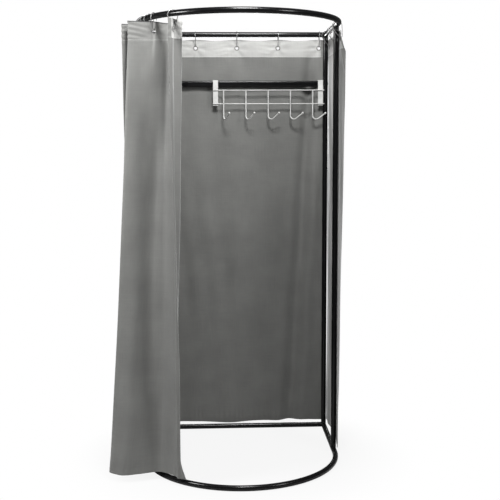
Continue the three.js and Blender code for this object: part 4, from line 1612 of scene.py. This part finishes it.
@dataclass
class BackCurtain:
    """The back curtain: nearly flat, with shallow waves that grow to the hem and one long fold."""

    width: float = 0.865
    rings: int = 5
    pitch: float = 203 * MM
    margin: float = 24 * MM
    column_pitch: float = 8 * MM
    wave: float = 7 * MM
    sag: float = 8 * MM
    sag_x: float = -0.05
    sag_width: float = 0.13
    hem_wave: float = 1.5 * MM
    hem_rate: float = 23.0
    fold: float = 23 * MM
    fold_x: float = 0.37
    fold_drift: float = 0.11
    fold_width: float = 24 * MM
    fold_growth: float = 10 * MM
    groove_over: float = 0.12
    flank_height: float = 0.4
    flank_from: float = 0.26
    flank_over: float = 0.14

    def build(self, shop: Workshop) -> None:
        """Builds the cloth, its eyelets and its rings.

        Args:
            shop: the finishes.
        """
        outermost = self.rings // 2
        centres = [(i - outermost) * self.pitch for i in range(self.rings)]
        half = outermost * self.pitch + self.margin
        columns = columns_with_eyelets(half, -half, self.column_pitch, centres)
        eyelets = [Eyelet(x, (x, CLOTH_OFFSET), Y, Body.FRAME.value) for x in centres]
        wires = [f"back_ring_{i + 1}_wire" for i in range(self.rings)]
        hang(shop, Curtain("back_curtain_cloth", "back_curtain", (self.width, FLAT_HEIGHT), eyelets,
                           self._form, columns, wires, seed=4))
        for i, x in enumerate(centres):
            name = f"back_ring_{i + 1}"
            CurtainRing().build(shop, name, Body.FRAME.value, (x, 0.0), math.pi / 2, CLOTH_OFFSET)

    def _form(self, xs: np.ndarray, shares: np.ndarray) -> np.ndarray:
        """The smooth form of the cloth.

        Args:
            xs: places across the curtain, one for each column.
            shares: shares of the drop, one for each row.

        Returns:
            The middle of the cloth, by rows and columns.
        """
        x, share = np.meshgrid(xs, shares)
        ripple = scallop(x, self.pitch)
        top = CLOTH_TOP - TOP_SCALLOP * ripple
        sag = self.sag * bell(x - self.sag_x, self.sag_width)
        hem = HEM_Z - sag + self.hem_wave * np.sin(x * self.hem_rate)
        y = CLOTH_OFFSET + self.wave * ripple * swell(share) + self._long_fold(x, share)
        return np.stack([x, y, top + (hem - top) * share], 2)

    def _long_fold(self, x: np.ndarray, share: np.ndarray) -> np.ndarray:
        """The one long fold, from the right eyelet down and towards the middle.

        Args:
            x: places across the curtain.
            share: shares of the drop.

        Returns:
            How far the fold lies behind the cloth's plane. Its flank starts below the hook rack.
        """
        line, wide = self.fold_x - self.fold_drift * share, self.fold_width + self.fold_growth * share
        groove = bell(x - line, wide) * rise(share, 0, self.groove_over)
        flank = bell(x - line - 2 * wide, wide) * rise(share, self.flank_from, self.flank_over)
        return self.fold * (groove - self.flank_height * flank)


@dataclass
class SideCurtain:
    """A side curtain, with a free front edge that flares and a drooping top corner."""

    side: Side
    width: float = 0.475
    rings: int = 3
    pitch: float = 187.5 * MM
    first: float = 35 * MM
    margin: float = 24 * MM
    back_margin: float = 59 * MM
    column_pitch: float = 7 * MM
    wave: float = 8 * MM
    droop: float = 40 * MM
    flare: float = 21 * MM
    flare_over: float = 0.03
    flare_return: float = 1.3
    free_over: float = 0.06
    corner_from: float = 0.36

    def __post_init__(self) -> None:
        """Works out the places of the eyelets, the edges and the cloth's plane."""
        self.centres = [-self.first - i * self.pitch for i in range(self.rings)]
        self.start, self.end = self.centres[0] + self.back_margin, self.centres[-1] - self.margin
        self.plane = self.side.sign * (HALF + CLOTH_OFFSET)

    def build(self, shop: Workshop) -> None:
        """Builds the cloth, its eyelets and its rings.

        Args:
            shop: the finishes.
        """
        name, right = self.side.value, self.side is Side.RIGHT
        edges = (self.end, self.start) if right else (self.start, self.end)
        columns = columns_with_eyelets(*edges, self.column_pitch, self.centres)
        facing = self.side.sign * X
        eyelets = [Eyelet(y, (self.plane, y), facing, Body.FRAME.value) for y in self.centres]
        wires = [f"{name}_ring_{i + 1}_wire" for i in range(self.rings)]
        hang(shop, Curtain(f"{name}_curtain_cloth", f"{name}_curtain", (self.width, FLAT_HEIGHT), eyelets,
                           self._form, columns, wires, seed=9 if right else 12))
        turn = 0.0 if right else math.pi
        for i, y in enumerate(self.centres):
            place = self.side.sign * HALF, y
            CurtainRing().build(shop, f"{name}_ring_{i + 1}", Body.FRAME.value, place, turn, CLOTH_OFFSET)

    def _form(self, ys: np.ndarray, shares: np.ndarray) -> np.ndarray:
        """The smooth form of the cloth.

        Args:
            ys: places along the side, one for each column.
            shares: shares of the drop, one for each row.

        Returns:
            The middle of the cloth, by rows and columns.
        """
        y, share = np.meshgrid(ys, shares)
        ripple = scallop(y + self.first, self.pitch)
        free = np.maximum(0, -y - SIDE_SPAN) / (-self.end - SIDE_SPAN)
        past = np.maximum(0, -y + self.centres[-1]) / self.margin
        behind = np.maximum(0, y - self.centres[0]) / self.back_margin
        down = pinned(share)
        corner = rise(past, self.corner_from, 1 - self.corner_from)
        spread = np.maximum(free * np.minimum(1, down / self.free_over), corner)
        flare = self.flare * spread * rise(share, 0, self.flare_over) * (1 - self.flare_return * down)
        top = CLOTH_TOP - TOP_SCALLOP * ripple - self.droop * past
        out = self.wave * ripple * swell(share) * (1 - behind) + flare
        return np.stack([self.plane + self.side.sign * out, y, top + (HEM_Z - top) * share], 2)


@dataclass
class FrontCurtain:
    """The doorway curtain: seven rings on the bow, gathered at its left end, drawn to the right."""

    width: float = 1.4
    rings: int = 7
    fold_depth: float = 95 * MM
    blend_end_share: float = 0.85
    settle_share: float = 0.72
    # Angles are from the left end of the bow, and shares are of the fold depth, outwards from the bow
    top_turns: tuple = (0, 0, 0, 0, 0, 27, -70)
    top_angles: tuple = ((6,), (12,), (18,), (23.5,), (27.2,), (37, 50.2), (49.2,))
    top_shares: tuple = ((0.8,), (0.8,), (0.8,), (1.17,), (1.02,), (-0.48, -0.52), (0.283,))
    hem_turns: tuple = (0, 0, 0, 0, 0, 27, 10)
    hem_angles: tuple = ((7,), (13,), (19,), (25,), (24.4,), (36.6, 50.8), (54,))
    hem_shares: tuple = ((0.97,), (0.97,), (0.97,), (0.97,), (2.21,), (0.3, 0.2), (0.3,))
    hem_ring_angles: tuple = (4, 10, 16, 22, 28, 31.5, 52.2)
    hem_ring_shares: tuple = (0.15, 0.15, 0.15, 0.15, 0.42, 1.9, 0.27)
    fold_steps: int = 9
    flat_steps: int = 5
    # How far the top edge rises, in millimetres, from the fold's foot on to the leading edge
    top_rise: tuple = (0, 10, 3, -1, 7)
    loose_over: float = 0.07
    even_reach: float = 27 * MM
    hollow_depth: float = 38 * MM
    hollow_width: float = 52 * MM
    hollow_rows: tuple = (0.05, 0.3, 0.85, 1)
    hollow_line_rows: tuple = (0.1, 0.35, 0.6, 0.82, 0.93, 1)
    hollow_line: tuple = (-0.363, -0.384, -0.412, -0.424, -0.39, -0.35)
    kick: tuple[float, float] = (22 * MM, -4 * MM)
    kick_columns: float = 9
    kick_over: float = 0.045

    def build(self, shop: Workshop) -> None:
        """Builds the cloth, its eyelets and its rings, and ties the eyelets and rings to the bodies that
        draw them.

        Args:
            shop: the finishes.
        """
        bodies = [Body.FRAME.value, *(f"ring_{i}" for i in range(2, self.rings + 1))]
        ring_angles = [math.degrees(angle) for angle in FRONT_ANGLES]
        top_places, steps = self._gather(-CLOTH_OFFSET / 2, ring_angles, [0.0] * self.rings,
                                         self.top_turns, self.top_angles, self.top_shares)
        hem_places, _ = self._gather(0.0, self.hem_ring_angles, self.hem_ring_shares,
                                     self.hem_turns, self.hem_angles, self.hem_shares)
        knots = self._knots(steps)
        form = self._form(self._spline(top_places, knots), self._spline(hem_places, knots), knots)
        columns = np.arange(len(knots), dtype=float)
        wires = [f"front_ring_{i + 1}_wire" for i in range(self.rings)]
        # The outer face's top row is painted near-black here: painted shade of the heading's top fold
        curtain = Curtain("front_curtain_cloth", "front_curtain", (self.width, FLAT_HEIGHT),
                          self._eyelets(bodies, knots), form, columns, wires, seed=21, inward=3 * MM,
                          band_depth=76 * MM, drape=0.7 * MM, crease=1.3 * MM, wrinkle=0.6 * MM, shaded_top_edge=True)
        piece = curtain.build(shop)
        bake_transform(piece)
        for i, (angle, turn, body) in enumerate(zip(FRONT_ANGLES, FRONT_TURNS, bodies)):
            CurtainRing().build(shop, f"front_ring_{i + 1}", body, bow_place(angle), angle + turn, 0.0)

    def _eyelets(self, bodies: Sequence[str], knots: np.ndarray) -> list[Eyelet]:
        """The eyelets, each half way between the two places beside it.

        Args:
            bodies: the body that each eyelet rides on.
            knots: positions of the columns, counted in places of the gather.

        Returns:
            The eyelets, from the fixed edge on.
        """
        eyelets = []
        position, columns = 1.5, np.arange(len(knots))
        for angle, turn, body, folds in zip(FRONT_ANGLES, self.top_turns, bodies, self.top_angles):
            turned_to = angle + math.radians(turn)
            facing = Vector((-math.cos(turned_to), -math.sin(turned_to), 0))
            column = float(np.interp(position, knots, columns))
            eyelets.append(Eyelet(column, bow_place(angle), facing, body))
            position += 2 + len(folds)
        return eyelets

    def _form(self, top: np.ndarray, hem: np.ndarray, knots: np.ndarray) -> Form:
        """The smooth form of the cloth, from its top line to its hem line.

        Args:
            top: the top line in plan, a place for each column.
            hem: the hem line in plan, a place for each column.
            knots: positions of the columns, counted in places of the gather.

        Returns:
            The form as a function of the columns and of shares of the drop.
        """
        rings = np.array([bow_place(angle) for angle in FRONT_ANGLES])
        off_bow = np.linalg.norm(top[:, None] - rings[None], axis=2).min(1)
        last = knots[-1]
        fold, valley = last - 7, last - 4
        lift = np.interp(knots, [fold - 0.5, fold, fold + 1.5, valley, last], self.top_rise) * MM
        height = CLOTH_TOP - TOP_SCALLOP * np.minimum(1, off_bow / self.fold_depth) + lift
        leading = rise(knots, valley, 2)[None]
        panel = np.interp(knots, [fold, fold + 0.5, valley, valley + 0.5], [0, 1, 1, 0])
        inner = np.interp(knots, [fold + 0.4, fold + 0.8, valley - 0.4, valley], [0, 1, 1, 0])
        even = self._evened(top) * inner[:, None]

        def form(columns: np.ndarray, shares: np.ndarray) -> np.ndarray:
            """The smooth form of the cloth.

            Args:
                columns: the columns, from the fixed edge on.
                shares: shares of the drop, one for each row.

            Returns:
                The middle of the cloth, by rows and columns.
            """
            free = pinned(shares)
            sunk = self._sunk(free)[:, None]
            opened = np.minimum(1, sunk / self._sunk(self.settle_share))
            fall = (sunk * (1 - leading) + opened * leading)[..., None]
            plan = top[None] * (1 - fall) + hem[None] * fall
            loose = rise(free, 0, self.loose_over)[:, None, None]
            plan = plan + loose * np.einsum("ij,rjk->rik", even, plan) + self._kick(columns, shares)
            plan[..., 1] += panel * self._hollow(plan[..., 0], shares[:, None])
            z = height[None] + (HEM_Z - height[None]) * shares[:, None]
            return np.concatenate([plan, z[..., None]], 2)

        return form

    @staticmethod
    def _sunk(free: float | np.ndarray) -> float | np.ndarray:
        """How far a place has moved from the top line to the hem line, at a share of the free drop."""
        return free * (1 - 0.3 * (1 - free))

    def _evened(self, line: np.ndarray) -> np.ndarray:
        """What it takes to even out a line over a few centimetres.

        Args:
            line: the line in plan, a place for each column.

        Returns:
            A matrix that gives each place's shift from all the places.
        """
        along = np.concatenate([[0.0], np.cumsum(np.linalg.norm(np.diff(line, axis=0), axis=1))])
        near = bell(along[:, None] - along[None], self.even_reach) * np.gradient(along)[None]
        return near / near.sum(1, keepdims=True) - np.eye(len(along))

    def _hollow(self, x: np.ndarray, share: np.ndarray) -> np.ndarray:
        """The broad valley of the front panel.

        Args:
            x: places in plan, for each row and column.
            share: shares of the drop, for each row.

        Returns:
            How far the cloth lies back.
        """
        line = np.interp(share, self.hollow_line_rows, self.hollow_line)
        depth = np.interp(share, self.hollow_rows, [0, self.hollow_depth, self.hollow_depth, 0])
        return depth * bell(x - line, self.hollow_width)

    def _kick(self, columns: np.ndarray, shares: np.ndarray) -> np.ndarray:
        """How the leading corner flicks out to the right over the last of its drop.

        Args:
            columns: the columns, from the fixed edge on.
            shares: shares of the drop, one for each row.

        Returns:
            The shift in plan, for each row and column.
        """
        near = bell(columns - columns[-1], self.kick_columns)[None, :, None]
        low = (rise(shares, 1 - self.kick_over, self.kick_over) ** 1.5)[:, None, None]
        return near * low * np.array(self.kick)

    def _gather(
        self, edge: float, ring_angles: Sequence[float], ring_shares: Sequence[float],
        turns: Sequence[float], fold_angles: Sequence, fold_shares: Sequence
    ) -> tuple[np.ndarray, list[int]]:
        """Places of the gather in plan: two beside each eyelet, then the folds after it.

        Args:
            edge: offset of the fixed edge from the bow.
            ring_angles: angles of the cloth under the rings, in degrees.
            ring_shares: their offsets as shares of the fold depth.
            turns: how far the cloth is turned from the bow's line at each eyelet, in degrees.
            fold_angles: angles of the folds after each ring, in degrees.
            fold_shares: their offsets as shares of the fold depth.

        Returns:
            The places, and how many fine steps follow each.
        """
        places, steps = [bow_place(0.0, edge)], [self.fold_steps]
        for i, degrees in enumerate(ring_angles):
            angle = math.radians(degrees)
            x, y = bow_place(angle, self.fold_depth * ring_shares[i])
            heading = angle + math.radians(turns[i])
            along = math.sin(heading), -math.cos(heading)
            places += [(x - EYELET_R * along[0], y - EYELET_R * along[1]),
                       (x + EYELET_R * along[0], y + EYELET_R * along[1])]
            steps += [self.flat_steps, self.fold_steps]
            for fold, share in zip(fold_angles[i], fold_shares[i]):
                places.append(bow_place(math.radians(fold), self.fold_depth * share))
                steps.append(self.fold_steps)
        return np.array(places), steps

    @staticmethod
    def _knots(steps: Sequence[int]) -> np.ndarray:
        """Positions of the fine columns, counted in places of the gather."""
        inside = [i + s / count for i, count in enumerate(steps[:-1]) for s in range(count)]
        return np.array([*inside, len(steps) - 1.0])

    @staticmethod
    def _spline(places: np.ndarray, knots: np.ndarray) -> np.ndarray:
        """A centripetal spline through the places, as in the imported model's source.

        Args:
            places: the places in plan.
            knots: positions of the columns, counted in places.

        Returns:
            A place in plan for each column.
        """
        ends = 2 * places[:1] - places[1:2], 2 * places[-1:] - places[-2:-1]
        padded = np.concatenate([ends[0], places, ends[1]])
        out = []
        for knot in knots:
            i = min(int(knot), len(places) - 2)
            w = knot - i
            p = padded[i:i + 4]
            d0, d1, d2 = (max(float(np.linalg.norm(p[k + 1] - p[k])) ** 0.5, 1e-6) for k in range(3))
            t1 = ((p[1] - p[0]) / d0 - (p[2] - p[0]) / (d0 + d1) + (p[2] - p[1]) / d1) * d1
            t2 = ((p[2] - p[1]) / d1 - (p[3] - p[1]) / (d1 + d2) + (p[3] - p[2]) / d2) * d1
            a = 2 * p[1] - 2 * p[2] + t1 + t2
            b = -3 * p[1] + 3 * p[2] - 2 * t1 - t2
            out.append(p[1] + t1 * w + b * w**2 + a * w**3)
        return np.array(out)


# Stage


@dataclass
class Studio:
    """The white floor, the soft lamps and the camera of the photograph's view."""

    eye: tuple[float, float, float] = (-0.1426, -4.5926, 1.4688)
    yaw: float = 0.0442
    pitch: float = -0.118
    roll: float = -0.004
    focal_pixels: float = 917.5
    photo_pixels: float = 500.0
    sensor: float = 36.0
    clip_end: float = 200.0
    ambient: float = 0.1
    floor_colour: tuple[float, float, float] = (0.5, 0.5, 0.5)
    floor_y: float = -0.4
    floor_z: float = -0.0004
    floor_r: float = 30.0
    floor_sides: int = 64
    fade_start: float = 0.4
    fade_end: float = 0.85
    fade_share: float = 0.86

    def build(self) -> None:
        """Builds the camera, the world, the floor and the lamps, and sets the view transform."""
        self._camera()
        self._world()
        self._floor()
        self._lamp("left_box", (-2.0, -1.4, 2.1), (-0.4, -0.7, 1.6), (0.6, 0.6), 58.0)
        self._lamp("right_box", (2.0, -2.3, 2.3), (-0.2, -0.7, 1.5), (0.6, 0.6), 30.0)
        self._lamp("key", (0.1, -1.6, 3.2), (0.05, 0.0, 0.6), (0.6, 0.5), 82.0)
        self._lamp("front_fill", (-0.5, -4.4, 1.5), (0.1, -0.2, 1.0), (1.2, 1.2), 2.0)
        self._lamp("rear_fill", (0.3, 4.2, 1.6), (0.0, 0.0, 1.0), (1.6, 1.6), 75.0)
        bpy.context.scene.view_settings.view_transform = "Standard"

    def _camera(self) -> None:
        """The camera, from the fit to the photograph."""
        ahead, side = math.cos(self.yaw), math.sin(self.yaw)
        flat = math.cos(self.pitch)
        forward = Vector((side * flat, ahead * flat, math.sin(self.pitch)))
        level = Vector((ahead, -side, 0))
        above = level.cross(forward)
        c, s = math.cos(self.roll), math.sin(self.roll)
        right, up = level * c + above * s, above * c - level * s
        turn = Matrix((right, up, -forward)).transposed().to_4x4()
        data = bpy.data.cameras.new("camera")
        data.sensor_width = self.sensor
        data.lens = self.sensor * self.focal_pixels / self.photo_pixels
        data.clip_end = self.clip_end
        camera = bpy.data.objects.new("camera", data)
        camera.matrix_world = Matrix.Translation(self.eye) @ turn
        bpy.context.scene.collection.objects.link(camera)
        bpy.context.scene.camera = camera

    def _world(self) -> None:
        """Soft light from all round, which the camera sees as white."""
        world = bpy.data.worlds.new("studio")
        world.use_nodes = True
        bpy.context.scene.world = world
        n = Nodes(world.node_tree)
        world.node_tree.nodes.clear()
        light, seen = n.add("ShaderNodeBackground"), n.add("ShaderNodeBackground")
        light.inputs["Strength"].default_value = self.ambient
        seen.inputs["Color"].default_value = (1, 1, 1, 1)
        light.inputs["Color"].default_value = (1, 1, 1, 1)
        shown = n.add("ShaderNodeLightPath").outputs["Is Camera Ray"]
        mix, out = n.add("ShaderNodeMixShader"), n.add("ShaderNodeOutputWorld")
        n.link(shown, mix.inputs[0])
        n.link(light.outputs[0], mix.inputs[1])
        n.link(seen.outputs[0], mix.inputs[2])
        n.link(mix.outputs[0], out.inputs[0])

    def _floor(self) -> None:
        """A wide floor that keeps the object's shadow and fades to white away from it."""
        points, faces = [(0.0, self.floor_y, self.floor_z)], []
        for i in range(self.floor_sides):
            turn = math.tau * i / self.floor_sides
            points.append((self.floor_r * math.cos(turn), self.floor_y + self.floor_r * math.sin(turn),
                           self.floor_z))
            faces.append([0, 1 + i, 1 + (i + 1) % self.floor_sides])
        floor = new_piece("floor", points, faces)
        material, n, shader = new_material("pale_floor", {
            "Base Color": rgba(self.floor_colour), "Roughness": 0.9, "Specular IOR Level": 0.1})
        white = n.add("ShaderNodeEmission")
        shown = n.add("ShaderNodeLightPath").outputs["Is Camera Ray"]
        place = n.add("ShaderNodeTexCoord").outputs["Object"]
        distance = n.add("ShaderNodeVectorMath", operation="DISTANCE")
        distance.inputs[1].default_value = (0.0, self.floor_y, 0.0)
        n.link(place, distance.inputs[0])
        far = n.ramp(distance.outputs["Value"], self.fade_start, self.fade_end, self.fade_share, 1.0)
        mix = n.add("ShaderNodeMixShader")
        n.link(n.math("MULTIPLY", far, shown), mix.inputs[0])
        n.link(shader.outputs[0], mix.inputs[1])
        n.link(white.outputs[0], mix.inputs[2])
        n.link(mix.outputs[0], material.node_tree.nodes["Material Output"].inputs[0])
        floor.data.materials.append(material)

    @staticmethod
    def _lamp(name: str, place: Point, target: Point, size: tuple[float, float], power: float) -> None:
        """One soft box.

        Args:
            name: the lamp's name.
            place: where it stands.
            target: what it is aimed at.
            size: its width and height.
            power: its power, in watts.
        """
        data = bpy.data.lights.new(name, "AREA")
        data.shape, data.size, data.size_y, data.energy = "RECTANGLE", size[0], size[1], power
        lamp = bpy.data.objects.new(name, data)
        lamp.location = place
        lamp.rotation_euler = (Vector(target) - Vector(place)).to_track_quat("-Z", "Y").to_euler()
        bpy.context.scene.collection.objects.link(lamp)


def main() -> None:
    """Builds the stage and the pieces in order."""
    logging.basicConfig(level=logging.INFO, format="%(name)s: %(message)s")
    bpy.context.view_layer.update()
    Studio().build()
    shop = Workshop(Effects())
    TubeFrame().build(shop)
    HangingRail().build(shop)
    HookRack().build(shop)
    BackCurtain().build(shop)
    for side in Side:
        SideCurtain(side).build(shop)
    FrontCurtain().build(shop)


if __name__ == "__main__":
    main()
